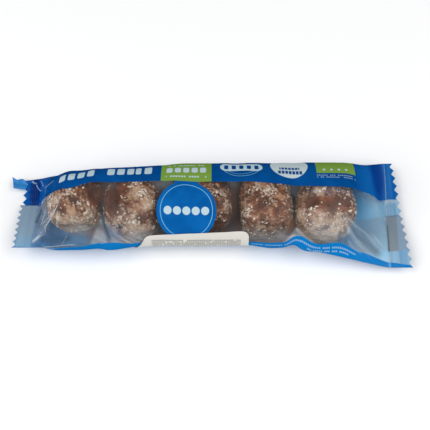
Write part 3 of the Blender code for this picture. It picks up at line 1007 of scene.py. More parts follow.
def build_flakes(balls, tree, material):
    """All the flakes and crumbs of coconut as one piece."""
    draw = np.random.default_rng(FLAKE_SEED)
    groups = []
    for ball, middle in balls:
        for count, length, width in ((FLAKES_PER_BALL, FLAKE_LENGTH, FLAKE_WIDTH),
                                     (CRUMBS_PER_BALL, CRUMB_LENGTH, CRUMB_WIDTH)):
            seats, normals = flake_seats(ball.data, count, draw)
            lengths = draw.uniform(*length, size=count)
            widths = draw.uniform(*width, size=count)
            points = sliver_points(seats, normals, lengths, widths, draw).reshape(-1, 3)
            groups.append(keep_inside(points, middle, tree, FLAKE_MARGIN))
    points = np.concatenate(groups)
    count = len(points) // (len(FLAKE_STATIONS) * 4)
    mesh_data = bpy.data.meshes.new("coconut_flakes")
    mesh_data.from_pydata(points.tolist(), [], sliver_faces(count).tolist())
    tones = draw.uniform(0.0, 1.0, size=count) ** TONE_POWER
    set_point_values(mesh_data, tone=np.repeat(tones, len(FLAKE_STATIONS) * 4))
    return add_piece("coconut_flakes", mesh_data, material)


# The paper label, stuck on the near side

# Heights are above the film's near fold, measured round the film
LABEL_LEFT = -28.25 * MM
LABEL_RIGHT = 18.3 * MM
LABEL_TOP_LEFT = 4.9 * MM
LABEL_TOP_RIGHT = 7.1 * MM
LABEL_BOTTOM = -10.5 * MM
LABEL_LEAN = 5.0 * MM
LABEL_CORNER = 3.0 * MM
LABEL_LIFT = 0.30 * MM
LABEL_THICKNESS = 0.18 * MM
LABEL_STEPS_LONG = 160
LABEL_STEPS_HIGH = 64
NORMAL_REACH = 0.3 * MM


def label_corner(distance):
    """How much the label's edge drops in at this distance from its end."""
    short = np.clip(LABEL_CORNER - distance, 0.0, LABEL_CORNER)
    return LABEL_CORNER - np.sqrt(LABEL_CORNER ** 2 - short ** 2)


def film_point(x, girth):
    """Points of the film round the balls with its relief, and its outward directions there."""
    place = x + MIDDLE
    turned = NORMAL_REACH / GIRTH
    along = wrap_point(place + NORMAL_REACH, girth) - wrap_point(place - NORMAL_REACH, girth)
    turn = wrap_point(place, girth + turned) - wrap_point(place, girth - turned)
    normals = np.cross(turn, along)
    normals /= np.linalg.norm(normals, axis=-1, keepdims=True)
    points = wrap_point(place, girth)
    points[..., 0] -= MIDDLE
    return points + normals * film_relief(x, girth)[..., None], normals


def build_label(material):
    """A thin closed sheet that follows the film, with its own UV map from corner to corner."""
    reach = LABEL_RIGHT - LABEL_LEFT
    long_share = 0.5 - 0.5 * np.cos(np.linspace(0.0, pi, LABEL_STEPS_LONG + 1))
    high_share = np.linspace(0.0, 1.0, LABEL_STEPS_HIGH + 1)
    high, long = np.meshgrid(high_share, long_share, indexing="ij")
    drop = label_corner(np.minimum(long, 1.0 - long) * reach)
    top = mix(LABEL_TOP_LEFT, LABEL_TOP_RIGHT, long) - drop
    height = mix(top, LABEL_BOTTOM + drop, high)
    x = LABEL_LEFT + reach * long - LABEL_LEAN * high * (1.0 - long)
    points, normals = film_point(x, 0.5 - height / GIRTH)
    inner = points + normals * LABEL_LIFT
    outer = points + normals * (LABEL_LIFT + LABEL_THICKNESS)
    along = (x - LABEL_LEFT) / reach
    up = (height - LABEL_BOTTOM) / (LABEL_TOP_RIGHT - LABEL_BOTTOM)
    mesh_data = sheet_mesh("label_sticker", outer, inner, np.stack((along, up), axis=-1))
    piece = add_piece("label_sticker", mesh_data, material)
    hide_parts("label")


# The back seam under the pack, and the folded corner of the left seal

FIN_LIFT = 0.06 * MM
FIN_THICKNESS = 0.16 * MM
FLAP_NEAR_EDGE = ((-92.1 * MM, 14.85 * MM), (-86.4 * MM, 14.4 * MM))
FLAP_FAR_EDGE = ((-93.3 * MM, 20.8 * MM), (-85.0 * MM, 19.6 * MM))
FLAP_TEETH = 1.75
FLAP_TOOTH = 1.1 * MM
FLAP_STEPS_LONG = 60
FLAP_STEPS_WIDE = 40
FLAP_THICKNESS = 0.28 * MM
FLAP_RISE = 0.6 * MM
FLAP_CURL = 0.25 * MM
FLAP_CURLS = 1.25


def build_fin(material):
    """The flat back seam: a thin crimped strip against the underside, from end to end."""
    strip = slice(int(FIN_FROM * COLUMNS), int(FIN_TO * COLUMNS))
    inner, _, girth = film_surface(COLUMNS, BODY_ROWS, SEAL_ROWS // 2, FIN_LIFT)
    outer, _, _ = film_surface(COLUMNS, BODY_ROWS, SEAL_ROWS // 2, FIN_LIFT + FIN_THICKNESS)
    places = print_places(outer[:, strip, 0], girth[:, strip])
    mesh_data = sheet_mesh("back_seam", outer[:, strip], inner[:, strip], places)
    add_piece("back_seam", mesh_data, material)


def build_flap(material):
    """The left seal's far corner, folded out, with the seal's teeth along its far edge."""
    long, wide = np.meshgrid(np.linspace(0.0, 1.0, FLAP_STEPS_LONG + 1),
                             np.linspace(0.0, 1.0, FLAP_STEPS_WIDE + 1), indexing="ij")
    cut = FLAP_TOOTH * (1.0 - np.abs(2.0 * ((long * FLAP_TEETH) % 1.0) - 1.0))
    (near_left, near_left_y), (near_right, near_right_y) = FLAP_NEAR_EDGE
    (far_left, far_left_y), (far_right, far_right_y) = FLAP_FAR_EDGE
    x = mix(mix(near_left, near_right, long), mix(far_left, far_right, long), wide)
    y = mix(mix(near_left_y, near_right_y, long), mix(far_left_y, far_right_y, long) - cut, wide)
    z = FLAP_Z + FLAP_RISE * (1.0 - long) ** 2 + FLAP_CURL * np.sin(2.0 * pi * FLAP_CURLS * wide)
    z = z + RIB_HEIGHT * np.sin(2.0 * pi * y / RIB_PITCH)
    outer = np.stack((x, y, z), axis=-1)
    inner = np.stack((x, y, z - FLAP_THICKNESS), axis=-1)
    mesh_data = sheet_mesh("left_flap", outer, inner, np.stack((long, wide), axis=-1))
    add_piece("left_flap", mesh_data, material)


# Materials

# How shiny a surface is unless its material says otherwise
SPECULAR = 0.5
# The grains of clouds and of the finest relief: detail and roughness of the noise
CLOUDY = (3.0, 0.6)
SPOTTED = (2.0, 0.5)
# The height and strength of relief that is barely felt
SLIGHT = (0.05 * MM, 0.5)


def srgb(red, green, blue):
    """A colour as a shader takes it, from the 0 to 255 of a picture."""
    linear = []
    for channel in (red, green, blue):
        share = channel / 255.0
        linear.append(share / 12.92 if share <= 0.04045 else ((share + 0.055) / 1.055) ** 2.4)
    return (*linear, 1.0)


class Term:
    """A number in a shader. Python's operators work on it by adding Math nodes."""

    def __init__(self, finish, socket):
        self.finish = finish
        self.socket = socket

    def __add__(self, other):
        return self.finish.maths("ADD", self, other)

    __radd__ = __add__

    def __sub__(self, other):
        return self.finish.maths("SUBTRACT", self, other)

    def __rsub__(self, other):
        return self.finish.maths("SUBTRACT", other, self)

    def __mul__(self, other):
        return self.finish.maths("MULTIPLY", self, other)

    __rmul__ = __mul__

    def __truediv__(self, other):
        return self.finish.maths("DIVIDE", self, other)

    def __pow__(self, power):
        return self.finish.maths("POWER", self, power)

    def __abs__(self):
        return self.finish.maths("ABSOLUTE", self, 0.0)

    def __or__(self, other):
        """The larger of two masks: what either of them covers."""
        return self.finish.maths("MAXIMUM", self, other)

    def whole(self):
        return self.finish.maths("FLOOR", self, 0.0)

    def clamped(self):
        return self.finish.maths("ADD", self, 0.0, clamp=True)


class Finish:
    """A material under construction, all of nodes."""

    def __init__(self, name):
        self.material = bpy.data.materials.new(name)
        self.material.use_nodes = True
        self.tree = self.material.node_tree
        self.tree.nodes.clear()

    def node(self, kind, settings=None, sockets=None, output=0):
        """Adds a node: its settings first, then the values or links of its sockets."""
        node = self.tree.nodes.new(kind)
        for setting, value in (settings or {}).items():
            setattr(node, setting, value)
        for name, value in (sockets or {}).items():
            if isinstance(value, Term):
                self.tree.links.new(value.socket, node.inputs[name])
            else:
                node.inputs[name].default_value = value
        return Term(self, node.outputs[output]) if len(node.outputs) else None

    def maths(self, operation, first, second, clamp=False):
        return self.node("ShaderNodeMath", {"operation": operation, "use_clamp": clamp},
                         {0: first, 1: second})

    def fused(self, first, second, third, clamp=False):
        """First times second plus third, as one node."""
        return self.node("ShaderNodeMath", {"operation": "MULTIPLY_ADD", "use_clamp": clamp},
                         {0: first, 1: second, 2: third})

    def vector(self, operation, first, second, output=0):
        return self.node("ShaderNodeVectorMath", {"operation": operation},
                         {0: first, 1: second}, output)

    def dot(self, first, second):
        return self.vector("DOT_PRODUCT", first, second, 1)

    def blend(self, share, start, end):
        """Mixes two colours."""
        return self.node("ShaderNodeMix", {"data_type": "RGBA"}, {0: share, 6: start, 7: end}, 2)

    def tinted(self, colour, tints):
        """Lays tints over a colour one after another, each as far as its share says."""
        for share, tint in tints:
            colour = self.blend(share, colour, tint)
        return colour

    def both(self, share, start, end):
        """Mixes two shaders."""
        return self.node("ShaderNodeMixShader", None, {0: share, 1: start, 2: end})

    def values(self, name):
        """A number kept for each point of the mesh."""
        return self.node("ShaderNodeAttribute", {"attribute_name": name}, None, 2)

    def places(self, name):
        """The two numbers of a UV map."""
        uv = self.node("ShaderNodeUVMap", {"uv_map": name})
        across = self.node("ShaderNodeSeparateXYZ", None, {0: uv})
        return across, Term(self, across.socket.node.outputs[1])

    def facing(self):
        """0 where a surface faces the viewer, up to 1 at its outline."""
        return self.node("ShaderNodeLayerWeight", None, {"Blend": 0.5}, 1)

    def over(self, value, edge, soft):
        """0 below the edge and 1 above it."""
        return self.maths("ADD", (value - edge) / soft, 0.5, clamp=True)

    def under(self, value, edge, soft):
        """1 below the edge and 0 above it."""
        return 1.0 - self.over(value, edge, soft)

    def field(self, value, low, high, soft):
        """1 between two edges, 0 outside them."""
        return self.over(value, low, soft) * self.under(value, high, soft)

    def oval(self, x, y, middle, half, soft):
        """1 inside an oval, 0 outside it."""
        across = (x - middle[0]) / half[0]
        up = (y - middle[1]) / half[1]
        distance = (across * across + up * up) ** 0.5
        return self.under(distance, 1.0, soft / half[0])

    def grain(self, scale, detail=2.0, roughness=0.5):
        """Noise in the object's own metres, at so many per metre."""
        place = self.node("ShaderNodeTexCoord", None, None, 3)
        return self.node("ShaderNodeTexNoise", None, {"Vector": place, "Scale": scale,
                                                      "Detail": detail, "Roughness": roughness})

    def streaks(self, across, along, width, length, detail=1.0):
        """Noise drawn out into streaks, so wide and so long in millimetres."""
        place = self.node("ShaderNodeCombineXYZ", None, {0: across / width, 1: along / length})
        return self.node("ShaderNodeTexNoise", None,
                         {"Vector": place, "Scale": 1.0, "Detail": detail, "Roughness": 0.5})

    def bump(self, height, distance, strength=1.0):
        return self.node("ShaderNodeBump", None,
                         {"Height": height, "Distance": distance, "Strength": strength})

    def principled(self, colour, roughness, normal=None, specular=SPECULAR):
        sockets = {"Base Color": colour, "Roughness": roughness, "Specular IOR Level": specular}
        if normal:
            sockets["Normal"] = normal
        return self.node("ShaderNodeBsdfPrincipled", None, sockets)

    def done(self, surface):
        self.node("ShaderNodeOutputMaterial", None, {"Surface": surface})
        return self.material


def either(masks):
    """What any of the masks covers."""
    covered = None
    for mask in masks:
        covered = mask if covered is None else covered | mask
    return covered


# The print on the film, in millimetres of the flat film along it and round it

def spread(count, middle, pitch):
    """The places of so many things in a row."""
    return [middle + (number - (count - 1) / 2) * pitch for number in range(count)]


DEEP_BLUE = srgb(2, 66, 128)
DEEP_BLUE_WORN = srgb(6, 78, 146)
BRIGHT_BLUE = srgb(10, 114, 184)
BADGE_BLUE = srgb(6, 82, 150)
BADGE_BLUE_WORN = srgb(12, 98, 170)
FIELD_GREEN = srgb(114, 148, 62)
PALE_PRINT = srgb(178, 200, 208)
PALE_LINE = srgb(120, 182, 208)
PALE_OVAL = srgb(184, 198, 202)
PRINT_SOFT = 0.14
SMALL_SOFT = 0.22
SMALL_PRINT = 0.58
GAPS_SOFT = 0.01
# Every row of dashes draws its gaps from a different part of the noise
ROW_APART = 7.0
WORN_SCALE = 90.0
WORN_FROM = 0.55
WORN_SOFT = 0.35
# How the band's blue gets painted light towards its two ends and a painted shaded oval: from
# which X, how softly, the oval's middle and half sizes, the lit blue round it and its own shaded
# blue
BAND_ENDS = (
    (68.0, 8.0, (79.2, 9.0), (3.9, 16.0), srgb(10, 92, 166), srgb(0, 54, 132)),
    (-76.0, 6.0, (-81.6, 8.0), (2.6, 12.0), srgb(6, 80, 156), srgb(0, 28, 96)),
)
# How strongly the painted light and the painted shade cover the band, and the oval's softness
BAND_LIT = 0.9
BAND_SHADED = 0.92
BAND_OVAL_SOFT = 0.7
# The round badge, and the neck that joins it to the band: left, right, low and high
BADGE = ((-9.15, 38.3), (13.1, 14.3))
BADGE_NECK = (-14.45, -3.85, BAND_EDGE - 2.0, BAND_EDGE + 2.6)
# Green fields in the band, in the same way
GREEN_FIELDS = ((-20.7, 1.8, 2.0, BAND_EDGE), (48.7, 66.2, 2.0, 16.8))
# Thin oval lines: the middle, the half sizes and the line's width
RINGS = (
    ((-9.15, 38.3), (11.55, 12.6), 0.26),
    ((15.2, 12.6), (8.9, 8.2), 0.2),
    ((15.2, 12.2), (7.6, 7.2), 0.16),
)
# Blocks with round corners: the middle, the half sizes and the corner's radius. The first is the
# pill shape, then come the title's blocks and those in the left green field.
TITLE = ((-66.5, 2.9), (-62.3, 3.0), (-58.1, 3.0), (-53.9, 3.0), (-44.9, 3.3), (-40.4, 3.3),
         (-35.9, 3.0), (-32.1, 2.4), (-28.2, 3.3))
PALE_BLOCKS = [((15.2, 13.4), (9.5, 3.5), 3.2)]
PALE_BLOCKS += [((left + width / 2, 15.4), (width / 2, 3.2), 0.9) for left, width in TITLE]
PALE_BLOCKS += [((place, 16.2), (1.35, 2.0), 0.8) for place in spread(5, -9.5, 3.75)]
BLUE_BLOCKS = [((place, 13.6), (0.95, 1.9), 0.7) for place in spread(5, 15.2, 3.4)]
# Dots in the badge and in the right green field, and the pale oval: the middle and half sizes
PALE_DOTS = [((place, 38.3), (1.75, 1.89)) for place in spread(5, -9.15, 4.1)]
PALE_DOTS += [((place, 14.6), (0.6, 0.6)) for place in spread(4, 57.15, 3.3)]
OVAL_FIELD = ((36.7, 11.4), (8.4, 8.9))
# Rows of dashes: left, right, the middle line, their height and pitch, the share of the pitch
# that is ink, and the share of dashes left out
PALE_ROWS = (
    (-18.5, -0.5, 21.0, 1.0, 1.2, 0.7, 0.2),
    (-17.5, -1.5, 12.0, 0.8, 1.1, 0.7, 0.2),
)
SMALL_ROWS = [
    (48.7, 65.5, 18.1, 0.45, 0.85, 0.7, 0.2),
    (48.7, 66.0, 19.2, 0.45, 0.85, 0.7, 0.2),
    (-76.0, -70.0, 11.5, 0.6, 0.9, 0.6, 0.2),
    (19.5, 66.0, 55.7, 0.75, 0.85, 0.66, 0.2),
    (44.0, 63.0, 57.4, 0.75, 0.85, 0.66, 0.2),
]
SMALL_ROWS += [(-60.0, 30.0, 62.0 + row * 1.9, 0.9, 1.2, 0.7, 0.2) for row in range(6)]
BLUE_ROWS = (
    (31.2, 42.2, 16.9, 2.1, 1.57, 0.78, 0.0),
    (32.2, 41.2, 14.1, 1.7, 1.5, 0.78, 0.0),
)


def print_millimetres(finish):
    """Where a point of the film is on the flat film: along it from its middle, and round it."""
    along, turned = finish.places("print")
    return (along - 0.5) * PRINT_LENGTH, turned * PRINT_ROUND


def shapes(shape, finish, x, around, table):
    """What all shapes of one kind cover, from a table with a row for each."""
    return either(shape(finish, x, around, *row) for row in table)


def dash_row(finish, x, around, left, right, middle, height, pitch, fill, gaps):
    """A row of small plain dashes of print, with gaps like the spaces between words."""
    step = x / pitch
    cell = step.whole()
    chance = finish.node("ShaderNodeTexWhiteNoise", {"noise_dimensions": "1D"},
                         {"W": cell + middle * ROW_APART})
    kept = finish.over(chance, gaps - GAPS_SOFT, GAPS_SOFT)
    dash = finish.field(step - cell, 0.5 - fill / 2, 0.5 + fill / 2, SMALL_SOFT / pitch)
    line = finish.field(around, middle - height / 2, middle + height / 2, SMALL_SOFT)
    return dash * line * kept * finish.field(x, left, right, SMALL_SOFT)


def block(finish, x, around, left, right, low, high):
    return finish.field(x, left, right, PRINT_SOFT) * finish.field(around, low, high, PRINT_SOFT)


def rounded(finish, x, around, middle, half, corner):
    """A block with round corners."""
    beside = (abs(x - middle[0]) - (half[0] - corner)) | 0.0
    above = (abs(around - middle[1]) - (half[1] - corner)) | 0.0
    return finish.under((beside * beside + above * above) ** 0.5, corner, PRINT_SOFT)


def disc(finish, x, around, middle, half):
    return finish.oval(x, around, middle, half, PRINT_SOFT)


def oval_line(finish, x, around, middle, half, width):
    """A thin oval line."""
    inner = (half[0] - width, half[1] - width)
    return disc(finish, x, around, middle, half) * (1.0 - disc(finish, x, around, middle, inner))


def band_blue(finish, x, around, worn):
    """The dark band's blue, with painted light at both ends and a painted shaded oval at each."""
    colour = finish.blend(worn, DEEP_BLUE, DEEP_BLUE_WORN)
    for edge, soft, middle, half, lit, shaded in BAND_ENDS:
        outside = finish.over if edge > 0.0 else finish.under
        oval = finish.oval(x, around, middle, half, half[0] * BAND_OVAL_SOFT)
        colour = finish.tinted(colour, ((outside(x, edge, soft) * BAND_LIT, lit),
                                        (oval * BAND_SHADED, shaded)))
    return colour


def film_ink(finish, x, around):
    """Where the film is printed, and in what colour."""
    band = finish.under(around, BAND_EDGE, PRINT_SOFT)
    back = finish.over(around, STRIPE_EDGE, PRINT_SOFT)
    badge = disc(finish, x, around, *BADGE) | block(finish, x, around, *BADGE_NECK)
    worn = finish.over(finish.grain(WORN_SCALE, *CLOUDY), WORN_FROM, WORN_SOFT)
    pale = (shapes(rounded, finish, x, around, PALE_BLOCKS)
            | shapes(disc, finish, x, around, PALE_DOTS)
            | shapes(dash_row, finish, x, around, PALE_ROWS))
    small = shapes(dash_row, finish, x, around, SMALL_ROWS)
    blue_marks = (shapes(dash_row, finish, x, around, BLUE_ROWS)
                  | shapes(rounded, finish, x, around, BLUE_BLOCKS))
    colour = finish.tinted(band_blue(finish, x, around, worn), (
        (badge * (1.0 - band), finish.blend(worn, BADGE_BLUE, BADGE_BLUE_WORN)),
        (back, BRIGHT_BLUE),
        (shapes(block, finish, x, around, GREEN_FIELDS), FIELD_GREEN),
        (shapes(oval_line, finish, x, around, RINGS), PALE_LINE),
        (pale | small * SMALL_PRINT, PALE_PRINT),
        (disc(finish, x, around, *OVAL_FIELD), PALE_OVAL),
        (blue_marks, DEEP_BLUE),
    ))
    return band | back | badge, colour


# The looks of the film, its creases and its lining

# Single creases in the window and on the band's left end, whitened and with painted highlights,
# in the print's millimetres: the start, the end, how far they bow aside, the half widths at both
# ends, and how white they are
PALE_LINES = (
    ((-79.2, 51.0), (-71.1, 43.5), -0.6, 0.9, 0.30, 0.27),
    ((-73.4, 42.2), (-65.1, 29.2), 1.1, 0.18, 0.24, 0.48),
    ((-74.3, 39.4), (-68.4, 34.0), 0.2, 0.20, 0.24, 0.40),
    ((-75.2, 40.6), (-72.7, 33.0), 0.3, 0.18, 0.30, 0.34),
    ((-65.7, 41.0), (-65.7, 33.6), 0.1, 0.24, 0.34, 0.30),
    ((-71.7, 43.4), (-71.5, 40.6), 0.0, 0.20, 0.16, 0.40),
    ((-67.2, 27.0), (-65.0, 30.8), 0.2, 0.24, 0.20, 0.34),
    ((-64.2, 50.6), (-61.4, 45.8), 0.2, 0.18, 0.26, 0.24),
    ((-68.5, 31.0), (-63.2, 26.2), 0.4, 0.5, 0.3, 0.22),
    ((-74.0, 52.6), (-57.0, 52.4), -1.1, 0.45, 0.35, 0.34),
    ((-83.7, 0.7), (-81.0, 3.2), 0.3, 0.50, 0.35, 0.55),
    ((-81.4, 3.4), (-78.0, 9.6), 0.4, 0.30, 0.20, 0.55),
    ((-79.7, 0.7), (-77.0, 7.9), -0.3, 0.20, 0.30, 0.34),
    ((-74.8, 9.0), (-77.6, 11.4), 0.1, 0.24, 0.2, 0.30),
    ((59.8, 39.4), (76.2, 46.4), -0.7, 0.50, 0.8, 0.13),
    ((61.6, 43.4), (69.5, 49.6), 0.2, 0.60, 0.9, 0.12),
    ((60.0, 39.6), (63.0, 47.0), 0.0, 0.6, 0.8, 0.11),
)
# Painted shade along folds and hollows of the film, in the same way
SHADED_FOLD_LINES = (
    ((-46.0, 39.6), (-42.0, 53.0), 0.5, 0.40, 0.60, 0.75),
    ((-78.6, 39.4), (-75.3, 31.0), 0.0, 1.1, 1.1, 0.80),
    ((-75.5, 45.8), (-58.5, 47.8), 0.5, 2.6, 1.8, 0.60),
    ((61.6, 41.0), (78.6, 52.4), 0.6, 1.2, 2.2, 0.52),
    ((59.0, 47.0), (58.4, 53.4), 0.0, 0.9, 1.2, 0.50),
)
LINE_EDGE = 0.9
LINE_SOFT = 1.2
LINE_FADE = 8.0
# Fine creases at the film's two ends, whitened and with painted highlights: their slant in
# degrees, spacing, thinness and seed
LEFT_CREASES = ((127.0, 2.4, 0.012, 3.0), (112.0, 3.4, 0.009, 31.0))
RIGHT_CREASES = ((34.0, 3.2, 0.012, 57.0),)
# How long such creases are, and the size and length of the places where they show, all in
# spacings, and from what value of the noise they show there and how softly
CREASE_LENGTH = 9.0
CREASE_PLACES = (0.7, 5.0)
CREASE_PLACES_FROM = 0.52
CREASE_PLACES_SOFT = 0.16
LEFT_CREASES_TO = -66.0
RIGHT_CREASES_FROM = 68.0
CREASES_SOFT = 9.0
# How white the fine creases are, as whitening and painted highlight
LEFT_CREASES_WHITE = 0.11
RIGHT_CREASES_WHITE = 0.2
WINDOW_SOFT = 0.2
# The part of the window, by millimetres round the film, where a right crease shows less
CALM_FROM = 32.0
CALM_TO = 50.0
CALM_SOFT = 2.0
CALM = 0.9
# How softly the seals start: for the looks of the film, and where they must start at once
SEAL_SOFT = 0.02
SEAL_SHARP = 0.01
# The seals' ribs: how softly their band starts, and their painted light on clear film and on print
RIBS_SOFT = 0.06
RIBS_WHITE = 0.03
RIBS_ON_INK = 0.06
# The seals' pleats: streak noise for relief, and where and how strongly it paints light on the
# print
PLEATS = (1.5, 30.0, 2.0)
PLEATS_FROM = 0.55
PLEATS_SOFT = 0.3
PLEATS_ON_INK = 0.35
# The film's finest relief
CRUMPLE_SCALE = 1400.0
CRUMPLE_GRAIN = 0.1
CRUMPLE_LINES = 0.6
CRUMPLE_HEIGHT = 0.4 * MM
CRUMPLE_STRENGTH = 0.6
# Mirror light off the film: straight on, the rest towards its outline, and how it rises there
MIRROR_LEAST = 0.007
MIRROR_MORE = 0.9
MIRROR_RISE = 5.0
GLOSS_ROUGHNESS = 0.16
INK_GLOSS = 0.002
# Milky patches, and streaks in the milky facets with their painted sheen
FROST_SCALE = 110.0
FROST_ROUGHNESS = 0.55
FROST_OVER = 0.62
FROST_SOFT = 0.3
FROST_WHITE = 0.015
SLANT = 34.0
VEIL_STREAKS = (2.2, 22.0)
VEIL_LEAST = 0.55
VEIL_MORE = 0.9
VEIL_STREAK_SOFT = 0.4
# How much the creases' whitening and painted highlight add to the milkiness
CREASE_MILKY = 0.35
# A painted highlight along the seals' fold at the band's edge: its width round the film and
# strength
FOLD_WIDTH = 1.6
FOLD_HIGHLIGHT = 0.3
CLEAR_TINT = (0.97, 0.98, 0.99, 1.0)
WHITE = (1.0, 1.0, 1.0, 1.0)
MILK = (0.68, 0.75, 0.80, 1.0)
# Painted blue light laid over the film
PAINTED_BLUE_LIGHT = (0.08, 0.42, 0.86, 1.0)
# Painted brown light, as bounced off the balls
PAINTED_BROWN_LIGHT = (0.38, 0.20, 0.12, 1.0)
# The painted shade along the film's folds
PAINTED_FOLD_SHADE = srgb(54, 78, 100)
# The painted light on the pleats, on the print
PLEAT_BLUE = srgb(60, 128, 190)
# The painted light of the ribs, on the print
RIB_BLUE = srgb(120, 170, 215)
# The creases' whitening and painted highlight on the print
CREASE_BLUE = srgb(170, 198, 222)
CREASE_ON_INK = 0.5
INK_ROUGHNESS = 0.28
INK_ROUGHER = 0.14
INK_ROUGH_SCALE = 300.0


def rib_share(finish, x):
    """The painted light and shade of the seals' fine ribs, 0 to 1."""
    return finish.maths("SINE", x * (2.0 * pi / (RIB_PITCH / MM)), 0.0) * 0.5 + 0.5


def slanted(x, around, degrees):
    """Places along and across a slant."""
    slant = radians(degrees)
    return x * cos(slant) + around * sin(slant), around * cos(slant) - x * sin(slant)


def fine_creases(finish, x, around, degrees, spacing, thin, seed):
    """Thin curved lines, where streaky noise passes its middle value, stronger here and there."""
    run, aside = slanted(x, around, degrees)
    streaky = finish.streaks(aside + seed, run, spacing, spacing * CREASE_LENGTH)
    width, length = (spacing * share for share in CREASE_PLACES)
    shown = finish.over(finish.streaks(aside - seed, run, width, length),
                        CREASE_PLACES_FROM, CREASE_PLACES_SOFT)
    return finish.under(abs(streaky - 0.5), thin, thin) * shown


def stroke(finish, place, start, end, bow, start_width, end_width, share):
    """How far a bowed line covers the film, fading out at its ends."""
    run_x = end[0] - start[0]
    run_round = end[1] - start[1]
    length = hypot(run_x, run_round)
    away = finish.vector("SUBTRACT", place, (*start, 0.0))
    along = finish.dot(away, (run_x / length ** 2, run_round / length ** 2, 0.0))
    aside = finish.dot(away, (-run_round / length, run_x / length, 0.0))
    arch = finish.fused(along, finish.fused(along, -1.0, 1.0), 0.0)
    off = abs(finish.fused(arch, -4.0 * bow, aside))
    off = off / finish.fused(along, end_width - start_width, start_width)
    line = finish.fused(off, -1.0 / LINE_SOFT, LINE_EDGE / LINE_SOFT + 0.5, clamp=True)
    ends = finish.fused(arch, LINE_FADE, 0.0, clamp=True)
    return finish.fused(line, ends, 0.0) * share


def strokes(finish, x, around, lines):
    """How far the single creases or folds of a table cover the film."""
    place = finish.node("ShaderNodeCombineXYZ", None, {0: x, 1: around})
    return either(stroke(finish, place, *line) for line in lines)


def white_lines(finish, x, around, seal):
    """Thin lines of whitening and painted highlight: fine creases at both ends, and the single
    ones.
    """
    on_body = finish.under(seal, 0.0, SEAL_SHARP)
    left = shapes(fine_creases, finish, x, around, LEFT_CREASES) * on_body
    left = left * finish.under(x, LEFT_CREASES_TO, CREASES_SOFT)
    right = shapes(fine_creases, finish, x, around, RIGHT_CREASES) * on_body
    right = right * finish.over(x, RIGHT_CREASES_FROM, CREASES_SOFT)
    right = right * finish.over(around, BAND_EDGE, WINDOW_SOFT)
    return (left * LEFT_CREASES_WHITE | right * RIGHT_CREASES_WHITE
            | strokes(finish, x, around, PALE_LINES))


def milkiness(finish, x, around, on_seal):
    """How milky the clear film looks, with painted sheen and fold highlight, its creases and lines
    apart.
    """
    frost = finish.over(finish.grain(FROST_SCALE, 3.0, FROST_ROUGHNESS), FROST_OVER, FROST_SOFT)
    run, aside = slanted(x, around, SLANT)
    drawn = finish.over(finish.streaks(aside, run, *VEIL_STREAKS), 0.5, VEIL_STREAK_SOFT)
    # Milkiness and painted sheen of the facets
    veil = finish.values("veil") * (VEIL_LEAST + VEIL_MORE * drawn)
    frosted = finish.values("frost") * finish.values("touch")
    # A painted highlight along the seals' fold at the band's edge
    seal_fold_highlight = finish.field(around, BAND_EDGE, BAND_EDGE + FOLD_WIDTH, 1.0) * on_seal
    return finish.values("haze") + frost * FROST_WHITE + veil + frosted + seal_fold_highlight * FOLD_HIGHLIGHT


def clear_film(finish, x, around, milky, gloss, crinkle):
    """Clear film that mirrors light, with milky places, painted light and painted shade laid over
    it.
    """
    mirror = MIRROR_LEAST + MIRROR_MORE * finish.facing() ** MIRROR_RISE
    film = finish.node("ShaderNodeBsdfTransparent", None, {"Color": CLEAR_TINT})
    film = finish.both(mirror.clamped(), film, gloss)
    layers = (
        (milky.clamped(), MILK),
        # Painted blue light
        (finish.values("tint"), PAINTED_BLUE_LIGHT),
        # Painted brown light bounced off the balls
        (finish.values("smear"), PAINTED_BROWN_LIGHT),
        # Painted shade along the folds
        (strokes(finish, x, around, SHADED_FOLD_LINES), PAINTED_FOLD_SHADE),
    )
    for share, colour in layers:
        matt = finish.node("ShaderNodeBsdfDiffuse", None, {"Color": colour, "Normal": crinkle})
        film = finish.both(share, film, matt)
    return film


def film_material():
    """Clear film with creases and milky places, and the print on it."""
    finish = Finish("printed clear film")
    x, around = print_millimetres(finish)
    covered, colour = film_ink(finish, x, around)
    seal = finish.values("seal")
    on_seal = finish.over(seal, 0.0, SEAL_SOFT)
    on_right = finish.over(x, 0.0, 1.0)
    ribs = finish.field(seal, RIBS_FROM, RIBS_TO, RIBS_SOFT) * rib_share(finish, x)
    pleats = finish.streaks(x, around, *PLEATS)
    lines = white_lines(finish, x, around, seal)
    calm = finish.field(around, CALM_FROM, CALM_TO, CALM_SOFT) * on_right
    crease = finish.values("crease") * (1.0 - calm * CALM)

    height = finish.grain(CRUMPLE_SCALE, *CLOUDY) * CRUMPLE_GRAIN + lines * CRUMPLE_LINES
    crinkle = finish.bump(height + pleats * on_seal, CRUMPLE_HEIGHT, CRUMPLE_STRENGTH)
    gloss = finish.node("ShaderNodeBsdfGlossy", None,
                        {"Color": WHITE, "Roughness": GLOSS_ROUGHNESS, "Normal": crinkle})
    # The lines and creases add whitening and painted highlight, and the ribs painted light
    milky = milkiness(finish, x, around, on_seal) + lines
    milky = milky + crease * CREASE_MILKY + ribs * RIBS_WHITE
    clear = clear_film(finish, x, around, milky, gloss, crinkle)

    # Painted light on the pleats of the right seal
    pleated = finish.over(pleats, PLEATS_FROM, PLEATS_SOFT) * on_seal * on_right
    colour = finish.tinted(colour, (
        (pleated * PLEATS_ON_INK, PLEAT_BLUE),
        # Painted light of the ribs
        (ribs * RIBS_ON_INK, RIB_BLUE),
        # Whitening and painted highlight of the creases and lines
        (((crease * CREASE_ON_INK) | lines).clamped(), CREASE_BLUE),
    ))
    roughness = INK_ROUGHNESS + INK_ROUGHER * finish.grain(INK_ROUGH_SCALE, *SPOTTED)
    ink = finish.principled(colour, roughness, crinkle, specular=0.0)
    return finish.done(finish.both(covered, clear, finish.both(INK_GLOSS, ink, gloss)))


